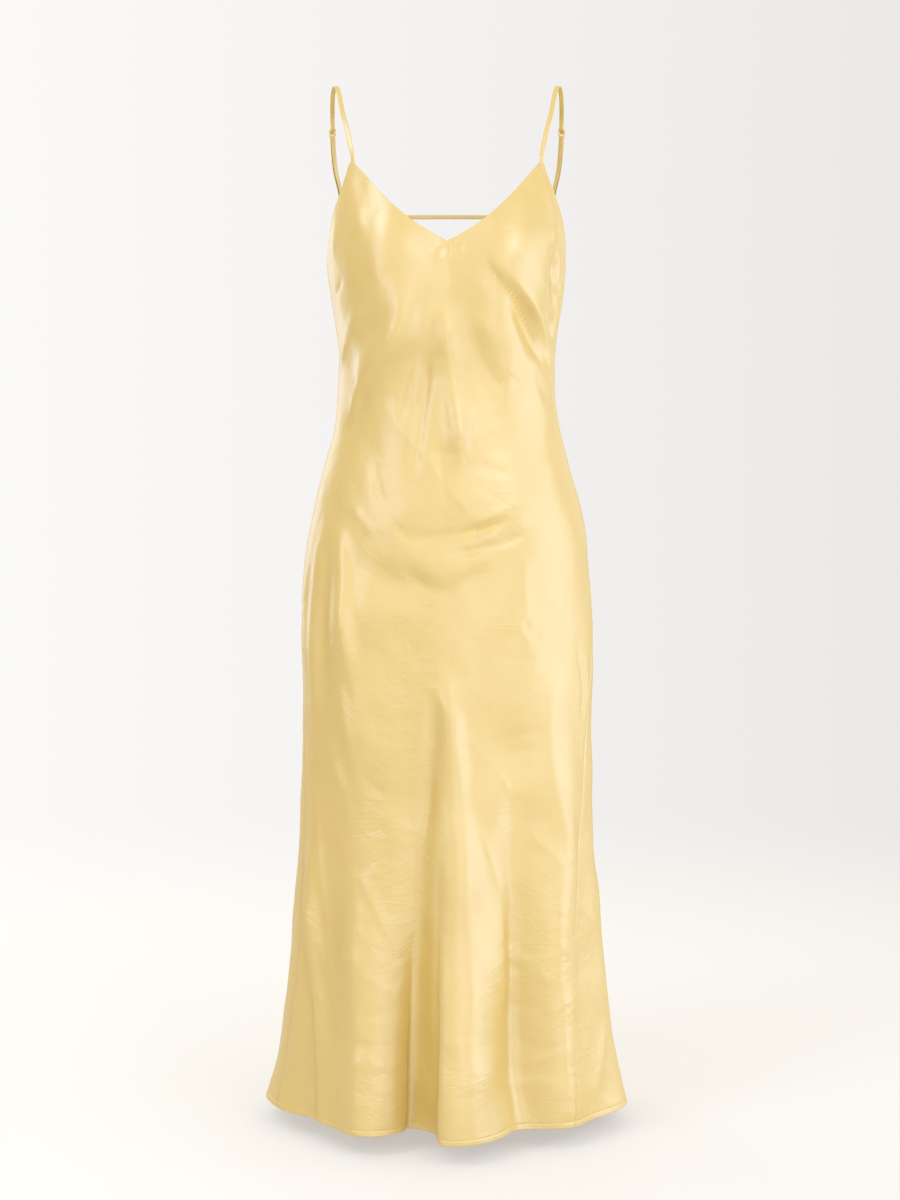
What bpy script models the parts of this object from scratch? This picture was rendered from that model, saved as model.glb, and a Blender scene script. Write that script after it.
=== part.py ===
"""Slip dress, filled out and hollow as it is worn, with nobody in it.

Metres, +Z up, the front of the dress towards -Y, the wearer's left at +X.
The origin is midway between the undersides of the two shoulder straps' crests.

The cloth of both panels is one form: a table of level sections, the bust, and a
table of folds.  A place on it is a turn round the body (degrees, 0 at the centre
front, 90 at +X, 180 at the centre back) and a height.  Each panel is a grid of
such places between its side seams, its top edge and the hem, with a wall behind.
"""

import math
from collections import namedtuple

import bmesh
import bpy
import numpy as np
from mathutils import Matrix

MM = 0.001

# Driving sizes
WALL = 1.5 * MM
SEAM_GAP = 0.3 * MM
HEM_HEIGHT = -1191 * MM
UNDERARM_HEIGHT = -210 * MM

# Level sections of the body form, from the hem up
Section = namedtuple("Section", "height half_width front back front_square back_square")
SECTIONS = (
    (-1.200, 0.2155, 0.150, 0.153, 2.00, 2.00),
    (-1.150, 0.2030, 0.146, 0.148, 2.02, 2.02),
    (-1.060, 0.1900, 0.138, 0.142, 2.06, 2.06),
    (-0.930, 0.1790, 0.131, 0.137, 2.10, 2.10),
    (-0.800, 0.1712, 0.127, 0.136, 2.12, 2.12),
    (-0.640, 0.1712, 0.124, 0.139, 2.12, 2.12),
    (-0.560, 0.1680, 0.122, 0.135, 2.12, 2.12),
    (-0.480, 0.1555, 0.119, 0.119, 2.12, 2.12),
    (-0.410, 0.1355, 0.112, 0.099, 2.12, 2.16),
    (-0.340, 0.1258, 0.107, 0.090, 2.12, 2.24),
    (-0.280, 0.1295, 0.108, 0.093, 2.18, 2.36),
    (-0.222, 0.1385, 0.111, 0.098, 2.24, 2.50),
    (-0.150, 0.1420, 0.101, 0.103, 2.30, 2.70),
    (-0.090, 0.1395, 0.086, 0.100, 2.30, 2.70),
)

# The bust: how far its points stand from the centre, their height and their fullness
BUST_ACROSS = 78 * MM
BUST_HEIGHT = -205 * MM
BUST_OUT = 24 * MM
BUST_WIDE = 40 * MM
BUST_ABOVE = 55 * MM
BUST_BELOW = 72 * MM
BUST_FACING = 0.55         # it fades out where the form faces further round than this
BETWEEN = 10 * MM          # roundness of the cloth between the cups

# Side seams, which swing forward towards the hem as bias-cut cloth hangs
Seam = namedtuple("Seam", "height at_minus_x at_plus_x")
SEAMS = (
    (-1.200, -77.0, 50.0),
    (-1.080, -76.0, 54.0),
    (-0.960, -75.0, 59.0),
    (-0.860, -76.0, 66.0),
    (-0.780, -79.0, 73.0),
    (-0.700, -84.0, 80.0),
    (-0.600, -89.0, 87.0),
    (-0.400, -91.0, 91.0),
    (-0.200, -90.0, 90.0),
)

# Folds.  Each runs along a line over the cloth.  Depth is outward for a ridge and
# inward for a trough; lean slides its crest round the body; a flute grows all the
# way to the hem, and a drag fold fades at both ends.
Fold = namedtuple("Fold", "kind turn_start height_start turn_end height_end half_width depth lean")
FOLDS = (
    ("flute", -46.0, -0.740, -33.0, -1.200, 0.040, 0.024, 0.000),
    ("flute", -14.0, -0.620, -10.0, -1.200, 0.024, -0.019, -0.018),
    ("flute", -2.0, -0.630, 15.0, -1.200, 0.030, 0.039, -0.050),
    ("flute", 9.0, -0.790, 23.0, -1.200, 0.018, 0.022, 0.012),
    ("flute", 37.0, -0.700, 26.0, -1.200, 0.020, -0.019, -0.002),
    ("flute", 60.0, -0.820, 50.0, -1.200, 0.026, 0.010, 0.000),
    ("flute", -62.0, -0.840, -58.0, -1.200, 0.026, -0.010, 0.000),
    ("flute", 86.0, -0.860, 78.0, -1.200, 0.034, 0.006, 0.000),
    ("flute", 106.0, -0.760, 104.0, -1.200, 0.036, -0.014, 0.000),
    ("flute", 129.0, -0.660, 125.0, -1.200, 0.042, 0.030, 0.006),
    ("flute", 150.0, -0.740, 147.0, -1.200, 0.032, -0.018, 0.000),
    ("flute", 173.0, -0.690, 169.0, -1.200, 0.040, 0.036, 0.008),
    ("flute", 193.0, -0.760, 192.0, -1.200, 0.030, -0.016, 0.000),
    ("flute", 214.0, -0.650, 219.0, -1.200, 0.042, 0.030, -0.006),
    ("flute", 240.0, -0.760, 243.0, -1.200, 0.034, -0.016, 0.000),
    ("flute", 262.0, -0.840, 264.0, -1.200, 0.036, 0.003, 0.000),
    ("drag", 28.0, -0.205, 74.0, -0.320, 0.022, -0.006, 0.000),
    ("drag", 20.0, -0.250, 78.0, -0.400, 0.022, 0.005, 0.000),
    ("drag", -34.0, -0.260, -68.0, -0.400, 0.022, 0.005, 0.000),
    ("drag", -34.0, -0.515, 40.0, -0.500, 0.022, -0.005, 0.000),
    ("drag", 120.0, -0.395, 238.0, -0.385, 0.020, -0.006, 0.000),
    ("drag", 130.0, -0.350, 226.0, -0.342, 0.018, -0.004, 0.000),
)
FOLD_RADIUS = 150 * MM     # radius at which a turn counts as a distance round the body
FLUTE_GROWTH = 0.4         # above 0 a flute opens later on its way down

# Top edges, as (turn, height) from the centre outwards
NECKLINE = (
    (0.0, -0.1870), (20.0, -0.1655), (37.0, -0.1390), (50.0, -0.1130), (59.0, -0.0955),
)
FRONT_ARMHOLE = (
    (61.8, -0.0955), (64.3, -0.1210), (68.8, -0.1470), (73.5, -0.1735),
    (77.5, -0.1960), (83.0, -0.2070), (90.0, UNDERARM_HEIGHT),
)
SCOOP = (
    (0.0, -0.2750), (16.0, -0.2700), (32.0, -0.2500), (45.0, -0.2150),
    (55.5, -0.1780), (62.0, -0.1490), (62.4, -0.1380),
)
BACK_ARMHOLE = (
    (65.3, -0.1380), (66.8, -0.1500), (70.5, -0.1720), (76.0, -0.1930),
    (83.0, -0.2055), (90.0, UNDERARM_HEIGHT),
)
FRONT_COLUMNS = (10, 7)    # columns of the grid along half the neckline and one armhole
BACK_COLUMNS = (15, 6)     # columns along half the scoop and one back armhole
PANEL_ROWS = 30
ROW_CROWDING = 1.15        # above 1 the rows lie closer together at the bust
FAN_SHARE = 0.5            # share of the height in which the columns spread out evenly

# Straps: the route of one, from the top of the front tip to the back corner
STRAP_WIDTH = 5.4 * MM
STRAP_THICK = 0.9 * MM
StrapPlace = namedtuple("StrapPlace", "across back height facing")
STRAP_ROUTE = (
    (0.1085, -0.058, -0.0798, 28.0),
    (0.1150, -0.044, -0.0509, 18.0),
    (0.1192, -0.034, -0.0359, 12.0),
    (0.1227, -0.020, -0.0192, 6.0),
    (0.1261, -0.008, -0.0050, 2.0),
    (0.1290, 0.000, 0.0005, 0.0),
    (0.1322, 0.010, -0.0030, -4.0),
    (0.1340, 0.020, -0.0141, -10.0),
    (0.1348, 0.032, -0.0290, -18.0),
    (0.1353, 0.042, -0.0469, -26.0),
    (0.1343, 0.052, -0.0725, -36.0),
    (0.1325, 0.058, -0.0906, -44.0),
)
STRAP_STEP = 5 * MM        # straight start of a strap, above the front tip
STRAP_RINGS = (30, 15, 12, 8, 12)   # to the slider, through it, to the ring, round it, back up
BAND_SIDES = 8
BAND_FLATNESS = 0.55       # 1 gives an oval band, and less a flatter one

# Slider and ring: flat plates with windows, in the plane of the strap
PLATE_THICK = 0.9 * MM
PLATE_WIDTH = 8.6 * MM
BAR = 1.0 * MM
SLIDER_HEIGHT = -0.0469
SLIDER_WINDOW = 3.1 * MM
SLIDER_WINDOWS = 2
RING_WINDOW = 3.6 * MM
PLATE_CORNER = 1.1 * MM
CORNER_STEPS = 4
WEAVE = 1.35 * MM          # how far the strap stands off the slider's bars, middle to middle
WEAVE_FADE = 4             # bar spacings over which it comes back into line

# Loop that holds the ring on the back corner
LOOP_WIDTH = 5.0 * MM
LOOP_THICK = 0.7 * MM
LOOP_LEG = 5.5 * MM
LOOP_STEPS = 8
RING_RISE = 1.9 * MM       # from the top of the corner to the ring's lower bar

# Strap across the back
BACK_STRAP_WIDTH = 5.0 * MM
BACK_STRAP_THICK = 1.2 * MM
BACK_STRAP_HEIGHT = -0.1412
BACK_STRAP_RISE = 2.0 * MM
BACK_STRAP_STEPS = 24

# Finish
SATIN = (0.89, 0.69, 0.33, 1.0)
SATIN_ROUGHNESS = 0.38
COATING = (0.84, 0.66, 0.36, 1.0)
COATING_ROUGHNESS = 0.3
SHARP_ANGLE = 60           # degrees between faces, above which an edge is shaded sharp


def spline(knots, values):
    """Natural cubic spline through values at rising knots, held level past its ends."""
    knots = np.asarray(knots, float)
    values = np.asarray(values, float)
    count = len(knots)
    gap = np.diff(knots)
    matrix = np.eye(count)
    right = np.zeros(count)
    for i in range(1, count - 1):
        matrix[i, i - 1:i + 2] = gap[i - 1], 2 * (gap[i - 1] + gap[i]), gap[i]
        rise_after = (values[i + 1] - values[i]) / gap[i]
        rise_before = (values[i] - values[i - 1]) / gap[i - 1]
        right[i] = 6 * (rise_after - rise_before)
    bend = np.linalg.solve(matrix, right)

    def at(x):
        x = np.clip(x, knots[0], knots[-1])
        i = np.clip(np.searchsorted(knots, x) - 1, 0, count - 2)
        a = (knots[i + 1] - x) / gap[i]
        b = 1 - a
        curve = ((a ** 3 - a) * bend[i] + (b ** 3 - b) * bend[i + 1]) * gap[i] ** 2 / 6
        return a * values[i] + b * values[i + 1] + curve

    return at


def columns(kind, rows):
    """Splines of a table's columns over its first one, which rises."""
    table = np.array(rows).T
    return kind(*[spline(table[0], column) for column in table])


def curve_through(rows, count):
    """count + 1 points, evenly spaced in rows, on a smooth curve through the rows."""
    steps = np.arange(len(rows))
    wanted = np.linspace(0, len(rows) - 1, count + 1)
    return np.stack([spline(steps, column)(wanted) for column in np.array(rows).T], axis=-1)


SECTION = columns(Section, SECTIONS)
SEAM = columns(Seam, SEAMS)


def smooth_step(t):
    t = np.clip(t, 0.0, 1.0)
    return t * t * (3 - 2 * t)


def body_form(turn, height):
    """Points of the plain form, without folds, at turns in degrees and heights."""
    angle = np.radians(turn)
    ahead = np.cos(angle) >= 0
    depth = np.where(ahead, SECTION.front(height), SECTION.back(height))
    square = np.where(ahead, SECTION.front_square(height), SECTION.back_square(height))
    across = np.abs(np.sin(angle)) / SECTION.half_width(height)
    along = np.abs(np.cos(angle)) / depth
    radius = (across ** square + along ** square) ** (-1 / square)
    x = radius * np.sin(angle)
    y = -radius * np.cos(angle)
    above = height > BUST_HEIGHT
    up = (height - BUST_HEIGHT) / np.where(above, BUST_ABOVE, BUST_BELOW)
    beside = (np.sqrt(x ** 2 + BETWEEN ** 2) - BUST_ACROSS) / BUST_WIDE
    facing = smooth_step(np.cos(angle) / BUST_FACING)
    y = y - BUST_OUT * facing * np.exp(-(beside ** 2 + up ** 2) / 2)
    return np.stack([x, y, height + 0 * x], axis=-1)


def fold_shift(turn, height):
    """How far the folds move the cloth outward, and round the body."""
    outward = np.zeros(np.broadcast(turn, height).shape)
    sideways = np.zeros_like(outward)
    for row in FOLDS:
        fold = Fold(*row)
        run = FOLD_RADIUS * math.radians(fold.turn_end - fold.turn_start)
        drop = fold.height_end - fold.height_start
        length = math.hypot(run, drop)
        off_turn = (turn - fold.turn_start + 180) % 360 - 180
        across = FOLD_RADIUS * np.radians(off_turn)
        down = height - fold.height_start
        way = (across * run + down * drop) / length ** 2
        aside = (across * drop - down * run) / length
        if fold.kind == "flute":
            swell = smooth_step(way) * np.clip(way, 0, 1) ** FLUTE_GROWTH
        else:
            swell = np.sin(np.pi * np.clip(way, 0, 1)) ** 2
        shape = swell * np.exp(-(aside / fold.half_width) ** 2)
        outward += fold.depth * shape
        sideways += fold.lean * shape
    return outward, sideways


def plain_normal(turn, height):
    """Level outward direction of the plain form."""
    step = 0.5   # degrees
    along = body_form(turn + step, height) - body_form(turn - step, height)
    normal = np.stack([along[..., 1], -along[..., 0], np.zeros_like(along[..., 0])], axis=-1)
    return normal / np.linalg.norm(normal, axis=-1, keepdims=True)


def cloth(turn, height):
    """Points of the outer face of the cloth, folds and all."""
    turn = np.asarray(turn, float)
    height = np.asarray(height, float)
    outward, sideways = fold_shift(turn, height)
    normal = plain_normal(turn, height)
    tangent = np.stack([-normal[..., 1], normal[..., 0], np.zeros_like(outward)], axis=-1)
    return body_form(turn, height) + normal * outward[..., None] + tangent * sideways[..., None]


def cloth_normal(turn, height):
    """Outward direction of the folded cloth."""
    turn = np.asarray(turn, float)
    height = np.asarray(height, float)
    turn_step = 0.4   # degrees
    height_step = 2 * MM
    round_body = cloth(turn + turn_step, height) - cloth(turn - turn_step, height)
    upward = cloth(turn, height + height_step) - cloth(turn, height - height_step)
    normal = np.cross(round_body, upward)
    return normal / np.linalg.norm(normal, axis=-1, keepdims=True)


def unit(vector):
    return vector / np.linalg.norm(vector)


def new_object(name, mesh, material, collection):
    mesh.materials.append(material)
    item = bpy.data.objects.new(name, mesh)
    collection.objects.link(item)
    return item


def closed_mesh(name, points, faces):
    """Mesh of one closed body, smooth, with its faces pointing out."""
    shell = bmesh.new()
    corners = [shell.verts.new(point) for point in points]
    for face in faces:
        shell.faces.new([corners[i] for i in face])
    bmesh.ops.recalc_face_normals(shell, faces=shell.faces)
    mesh = bpy.data.meshes.new(name)
    shell.to_mesh(mesh)
    shell.free()
    mesh.shade_smooth()
    mesh.set_sharp_from_angle(angle=math.radians(SHARP_ANGLE))
    return mesh


def wall_mesh(name, outer, inner):
    """Wall between two like grids of points, with a rim on all four sides."""
    rows, count = outer.shape[:2]
    points = np.concatenate([outer.reshape(-1, 3), inner.reshape(-1, 3)])
    half = rows * count
    faces = []
    for i in range(rows - 1):
        for j in range(count - 1):
            a, b = i * count + j, i * count + j + 1
            c, d = b + count, a + count
            faces.append((a, b, c, d))
            faces.append((a + half, d + half, c + half, b + half))
    top = list(range(count))
    bottom = [(rows - 1) * count + j for j in range(count)]
    first = [i * count for i in range(rows)]
    last = [i * count + count - 1 for i in range(rows)]
    for edge in (top, bottom[::-1], first[::-1], last):
        for a, b in zip(edge, edge[1:]):
            faces.append((b, a, a + half, b + half))
    return closed_mesh(name, points, faces)


def panel_mesh(name, top, seam_start, seam_end, middle):
    """Panel under a top edge of (turn, height) points, between two seams.

    seam_start and seam_end give the seams' turns at a height; middle is the turn
    that the top edge's turns are counted from.
    """
    count = len(top)
    share_down = np.linspace(0, 1, PANEL_ROWS + 1)[:, None] ** ROW_CROWDING
    top_turn = middle + top[:, 0]
    top_height = top[:, 1]
    height = top_height + (HEM_HEIGHT - top_height) * share_down
    gap_turn = np.degrees(SEAM_GAP / 2 / FOLD_RADIUS)
    start = seam_start(height) + gap_turn
    end = seam_end(height) - gap_turn
    top_start = seam_start(top_height) + gap_turn
    top_end = seam_end(top_height) - gap_turn
    at_top = np.clip((top_turn - top_start) / (top_end - top_start), 0, 1)
    at_hem = np.linspace(0, 1, count)
    share = at_top + (at_hem - at_top) * smooth_step(share_down / FAN_SHARE)
    share[:, 0] = 0
    share[:, -1] = 1
    turn = start + (end - start) * share
    outer = cloth(turn, height)
    return wall_mesh(name, outer, outer - cloth_normal(turn, height) * WALL)


def mirrored_edge(centre_rows, armhole_rows, counts):
    """Whole top edge, from one underarm to the other, from the rows of its half."""
    centre = curve_through(centre_rows, counts[0])
    armhole = curve_through(armhole_rows, counts[1])
    half = np.concatenate([centre, armhole])
    other = half[:0:-1] * np.array([-1.0, 1.0])
    return np.concatenate([other, half])


def front_panel(material, collection):
    top = mirrored_edge(NECKLINE, FRONT_ARMHOLE, FRONT_COLUMNS)
    mesh = panel_mesh("front_panel", top, SEAM.at_minus_x, SEAM.at_plus_x, 0.0)
    return new_object("front_panel", mesh, material, collection)


def back_panel(material, collection):
    top = mirrored_edge(SCOOP, BACK_ARMHOLE, BACK_COLUMNS)

    def far_seam(height):
        return SEAM.at_minus_x(height) + 360

    mesh = panel_mesh("back_panel", top, SEAM.at_plus_x, far_seam, 180.0)
    return new_object("back_panel", mesh, material, collection)


def band_mesh(name, path, across, width, thickness, side=1):
    """Soft-edged band along a path; across gives its width's direction at each point."""
    path = np.asarray(path, float)
    tangent = np.gradient(path, axis=0)
    tangent /= np.linalg.norm(tangent, axis=1, keepdims=True)
    across = across - tangent * np.sum(across * tangent, axis=1, keepdims=True)
    across /= np.linalg.norm(across, axis=1, keepdims=True)
    outward = np.cross(tangent, across)
    angle = (np.arange(BAND_SIDES) + 0.5) * 2 * math.pi / BAND_SIDES
    wide = np.sign(np.cos(angle)) * np.abs(np.cos(angle)) ** BAND_FLATNESS
    thick = np.sign(np.sin(angle)) * np.abs(np.sin(angle)) ** BAND_FLATNESS
    wide *= width / 2 / wide.max()
    thick *= thickness / 2 / thick.max()
    rings = (path[:, None] + across[:, None] * wide[None, :, None]
             + outward[:, None] * thick[None, :, None])
    rings[..., 0] *= side
    faces = []
    for i in range(len(path) - 1):
        for j in range(BAND_SIDES):
            a = i * BAND_SIDES + j
            b = i * BAND_SIDES + (j + 1) % BAND_SIDES
            faces.append((a, b, b + BAND_SIDES, a + BAND_SIDES))
    faces.append(tuple(range(BAND_SIDES))[::-1])
    last = (len(path) - 1) * BAND_SIDES
    faces.append(tuple(last + j for j in range(BAND_SIDES)))
    return closed_mesh(name, rings.reshape(-1, 3), faces)


def corner_frame(turn, height):
    """Middle of the wall at a strap corner, and its across, outward and up directions."""
    below = 6 * MM
    outward = cloth_normal(turn, height)
    middle = cloth(turn, height) - outward * WALL / 2
    lower = cloth(turn, height - below) - cloth_normal(turn, height - below) * WALL / 2
    up = unit(middle - lower)
    outward = unit(outward - up * outward.dot(up))
    return middle, unit(np.cross(up, outward)), outward, up


def tip_turn(centre_rows, armhole_rows):
    return (centre_rows[-1][0] + armhole_rows[0][0]) / 2


FRONT_TIP = corner_frame(tip_turn(NECKLINE, FRONT_ARMHOLE), FRONT_ARMHOLE[0][1])
BACK_TIP = corner_frame(180 - tip_turn(SCOOP, BACK_ARMHOLE), BACK_ARMHOLE[0][1])


class StrapLine:
    """Middle line of a shoulder strap, by distance from the top of the front tip."""

    def __init__(self):
        middle, across, _, up = FRONT_TIP
        start = middle + up * SEAM_GAP
        front_facing = math.degrees(math.atan2(across[1], across[0]))
        points = [start, start + up * STRAP_STEP]
        facing = [front_facing, front_facing]
        for row in STRAP_ROUTE:
            place = StrapPlace(*row)
            points.append(np.array([place.across, place.back, place.height]))
            facing.append(place.facing)
        corner, back_across, _, back_up = BACK_TIP
        back_facing = math.degrees(math.atan2(-back_across[1], -back_across[0]))
        for rise in (12 * MM, 6 * MM, 0.0):
            points.append(corner + back_up * rise)
            facing.append(back_facing)
        points = np.array(points)
        steps = np.concatenate([[0], np.cumsum(np.linalg.norm(np.diff(points, axis=0), axis=1))])
        self.length = steps[-1]
        self.axes = [spline(steps, points[:, k]) for k in range(3)]
        self.facing = spline(steps, facing)

    def point(self, along):
        return np.stack([axis(along) for axis in self.axes], axis=-1)

    def frame(self, along):
        """Across and outward directions of the strap."""
        step = 0.5 * MM
        tangent = unit(self.point(along + step) - self.point(along - step))
        turned = math.radians(float(self.facing(along)))
        across = np.array([math.cos(turned), math.sin(turned), 0.0])
        across = unit(across - tangent * across.dot(tangent))
        return across, np.cross(across, tangent)

    def at_height_behind(self, height):
        """Distance along the line of a height on its way down the back."""
        fine = 2000
        along = np.linspace(self.length / 2, self.length, fine)
        return along[np.argmin(np.abs(self.point(along)[:, 2] - height))]


LINE = StrapLine()
SLIDER_AT = LINE.at_height_behind(SLIDER_HEIGHT)
SLIDER_PITCH = SLIDER_WINDOW + BAR
RING_PITCH = RING_WINDOW + BAR
RING_LOW_BAR = LINE.length - RING_RISE
RING_TOP_BAR = RING_LOW_BAR - RING_PITCH


def weave(along):
    """Offset of the strap's long run where it passes the slider's three bars."""
    off = (along - SLIDER_AT) / SLIDER_PITCH
    settle = smooth_step((abs(off) - 1) / WEAVE_FADE)
    behind = -(PLATE_THICK + STRAP_THICK) / 2 - SEAM_GAP if off > 0 else 0.0
    woven = WEAVE * math.cos(math.pi * min(abs(off), 1))
    return woven * (1 - settle) + behind * settle


def strap_path():
    """Points and width directions of a whole strap, from front tip to its end."""
    turn_radius = BAR / 2 + SEAM_GAP + STRAP_THICK / 2
    weave_start = SLIDER_AT - 1.5 * SLIDER_PITCH
    weave_end = SLIDER_AT + 1.5 * SLIDER_PITCH
    end = SLIDER_AT + SLIDER_PITCH - BAR
    to_slider, through, to_ring, round_ring, back_up = STRAP_RINGS
    points, across = [], []

    def place(along, out):
        sideways, outward = LINE.frame(along)
        points.append(LINE.point(along) + outward * out)
        across.append(sideways)

    for along in np.linspace(0, weave_start, to_slider):
        place(along, weave(along))
    for along in np.linspace(weave_start, weave_end, through)[1:]:
        place(along, weave(along))
    for along in np.linspace(weave_end, RING_TOP_BAR, to_ring)[1:]:
        share = smooth_step((along - weave_end) / (RING_TOP_BAR - weave_end))
        place(along, weave(along) * (1 - share) - turn_radius * share)
    for angle in np.linspace(0, math.pi, round_ring)[1:]:
        place(RING_TOP_BAR + turn_radius * math.sin(angle), -turn_radius * math.cos(angle))
    for along in np.linspace(RING_TOP_BAR, end, back_up)[1:]:
        place(along, turn_radius)
    return np.array(points), np.array(across)


def shoulder_strap(name, side, material, collection):
    points, across = strap_path()
    mesh = band_mesh(name, points, across, STRAP_WIDTH, STRAP_THICK, side)
    return new_object(name, mesh, material, collection)


def rounded_rectangle(curve, width, height, corner, centre=0.0):
    """Closed outline of a rounded rectangle, added to a flat curve."""
    outline = []
    for quarter in range(4):
        sign_x = 1 if quarter in (0, 3) else -1
        sign_y = 1 if quarter in (0, 1) else -1
        for step in range(CORNER_STEPS + 1):
            angle = math.pi / 2 * (quarter + step / CORNER_STEPS)
            x = sign_x * (width / 2 - corner) + corner * math.cos(angle)
            y = sign_y * (height / 2 - corner) + corner * math.sin(angle)
            outline.append((x, y + centre))
    line = curve.splines.new("POLY")
    line.points.add(len(outline) - 1)
    for point, (x, y) in zip(line.points, outline):
        point.co = (x, y, 0, 1)
    line.use_cyclic_u = True


def plate(name, side, along, windows, window_length, material, collection):
    """Flat plate with windows, centred on the strap's line and in its plane."""
    curve = bpy.data.curves.new(name, "CURVE")
    curve.dimensions = "2D"
    curve.fill_mode = "BOTH"
    curve.extrude = PLATE_THICK / 2
    pitch = window_length + BAR
    rounded_rectangle(curve, PLATE_WIDTH, windows * pitch + BAR, PLATE_CORNER)
    for index in range(windows):
        centre = (index - (windows - 1) / 2) * pitch
        inner_corner = PLATE_CORNER - BAR / 2
        rounded_rectangle(curve, PLATE_WIDTH - 2 * BAR, window_length, inner_corner, centre)
    across, outward = LINE.frame(along)
    upward = np.cross(outward, across)
    centre = LINE.point(along)
    flip = np.array([side, 1, 1])
    turned = Matrix.Identity(4)
    directions = (across * flip, upward * flip, outward * flip * side)
    for column, direction in enumerate(directions):
        for row in range(3):
            turned[row][column] = direction[row]
    turned.translation = centre * flip
    item = bpy.data.objects.new(name, curve)
    item.matrix_world = turned
    curve.materials.append(material)
    collection.objects.link(item)
    return item


def ring_loop(name, side, material, collection):
    """Folded loop: up the outside of the corner, over the ring's lower bar, down inside."""
    middle, across, outward, up = BACK_TIP
    reach = WALL / 2 + SEAM_GAP + LOOP_THICK / 2
    path = [middle - up * LOOP_LEG + outward * reach, middle + outward * reach]
    for angle in np.linspace(0, math.pi, LOOP_STEPS + 1):
        rise = RING_RISE + reach * math.sin(angle)
        path.append(middle + up * rise + outward * reach * math.cos(angle))
    path += [middle - outward * reach, middle - up * LOOP_LEG - outward * reach]
    directions = np.tile(across, (len(path), 1))
    mesh = band_mesh(name, path, directions, LOOP_WIDTH, LOOP_THICK, side)
    return new_object(name, mesh, material, collection)


def back_strap(material, collection):
    """Band straight across the open back, butted to the two corners' inner edges."""
    corner_turn = 180 - SCOOP[-2][0]
    end_turn = corner_turn + math.degrees(SEAM_GAP / np.hypot(*BACK_TIP[0][:2]))
    turns = np.linspace(end_turn, 360 - end_turn, BACK_STRAP_STEPS + 1)
    swing = np.cos(np.radians(180 - turns) * 90 / (180 - end_turn))
    height = BACK_STRAP_HEIGHT + BACK_STRAP_RISE * swing
    path = cloth(turns, height) - cloth_normal(turns, height) * WALL / 2
    upright = np.tile([0.0, 0.0, 1.0], (len(path), 1))
    mesh = band_mesh("back_strap", path, upright, BACK_STRAP_WIDTH, BACK_STRAP_THICK)
    return new_object("back_strap", mesh, material, collection)


def make_material(name, colour, roughness):
    material = bpy.data.materials.new(name)
    material.use_nodes = True
    shader = material.node_tree.nodes["Principled BSDF"]
    shader.inputs["Base Color"].default_value = colour
    shader.inputs["Roughness"].default_value = roughness
    shader.inputs["Metallic"].default_value = 0.0
    return material


def satin(piece):
    return make_material(f"{piece}_satin", SATIN, SATIN_ROUGHNESS)


def coating(piece):
    return make_material(f"{piece}_coating", COATING, COATING_ROUGHNESS)


def clear_scene():
    for item in list(bpy.data.objects):
        bpy.data.objects.remove(item, do_unlink=True)


def main():
    clear_scene()
    dress = bpy.data.collections.new("slip_dress")
    bpy.context.scene.collection.children.link(dress)
    front_panel(satin("front_panel"), dress)
    back_panel(satin("back_panel"), dress)
    back_strap(satin("back_strap"), dress)
    ring_at = (RING_LOW_BAR + RING_TOP_BAR) / 2
    for hand, side in (("left", 1), ("right", -1)):
        strap, loop = f"strap_{hand}", f"loop_{hand}"
        slider, ring = f"slider_{hand}", f"ring_{hand}"
        shoulder_strap(strap, side, satin(strap), dress)
        ring_loop(loop, side, satin(loop), dress)
        plate(slider, side, SLIDER_AT, SLIDER_WINDOWS, SLIDER_WINDOW, coating(slider), dress)
        plate(ring, side, ring_at, 1, RING_WINDOW, coating(ring), dress)


main()
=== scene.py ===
"""Slip dress in pale yellow satin: the finish of every surface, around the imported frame.

Metres, +Z up, the front of the dress towards -Y, the wearer's left at +X.
A place on the cloth is a turn round the body (degrees, 0 at the centre front, 90 at
+X, 180 at the centre back) and a height.  The two panels repeat the frame's form at a
finer step, with their creases, rolled edges and seams.
"""

import math
from collections import namedtuple

import bmesh
import bpy
import numpy as np
from mathutils import Matrix, Vector

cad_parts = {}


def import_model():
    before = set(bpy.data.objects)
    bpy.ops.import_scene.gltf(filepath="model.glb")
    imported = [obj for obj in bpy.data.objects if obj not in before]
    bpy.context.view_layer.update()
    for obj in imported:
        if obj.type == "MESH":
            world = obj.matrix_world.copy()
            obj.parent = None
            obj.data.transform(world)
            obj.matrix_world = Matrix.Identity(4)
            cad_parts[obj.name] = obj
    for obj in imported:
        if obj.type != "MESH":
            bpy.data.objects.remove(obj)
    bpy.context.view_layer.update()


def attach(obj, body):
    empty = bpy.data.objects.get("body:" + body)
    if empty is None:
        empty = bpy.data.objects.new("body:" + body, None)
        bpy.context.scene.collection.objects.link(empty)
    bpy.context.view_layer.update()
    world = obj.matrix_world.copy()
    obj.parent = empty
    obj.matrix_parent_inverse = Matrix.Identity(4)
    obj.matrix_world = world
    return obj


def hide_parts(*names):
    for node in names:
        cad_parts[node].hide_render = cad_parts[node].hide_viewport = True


MM = 0.001
UP = (0, 0, 1)

# ---------------------------------------------------------------- driving sizes

HEM_HEIGHT = -1191 * MM
UNDERARM_HEIGHT = -210 * MM
WALL = 1.5 * MM
SEAM_GAP = 0.3 * MM

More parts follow.
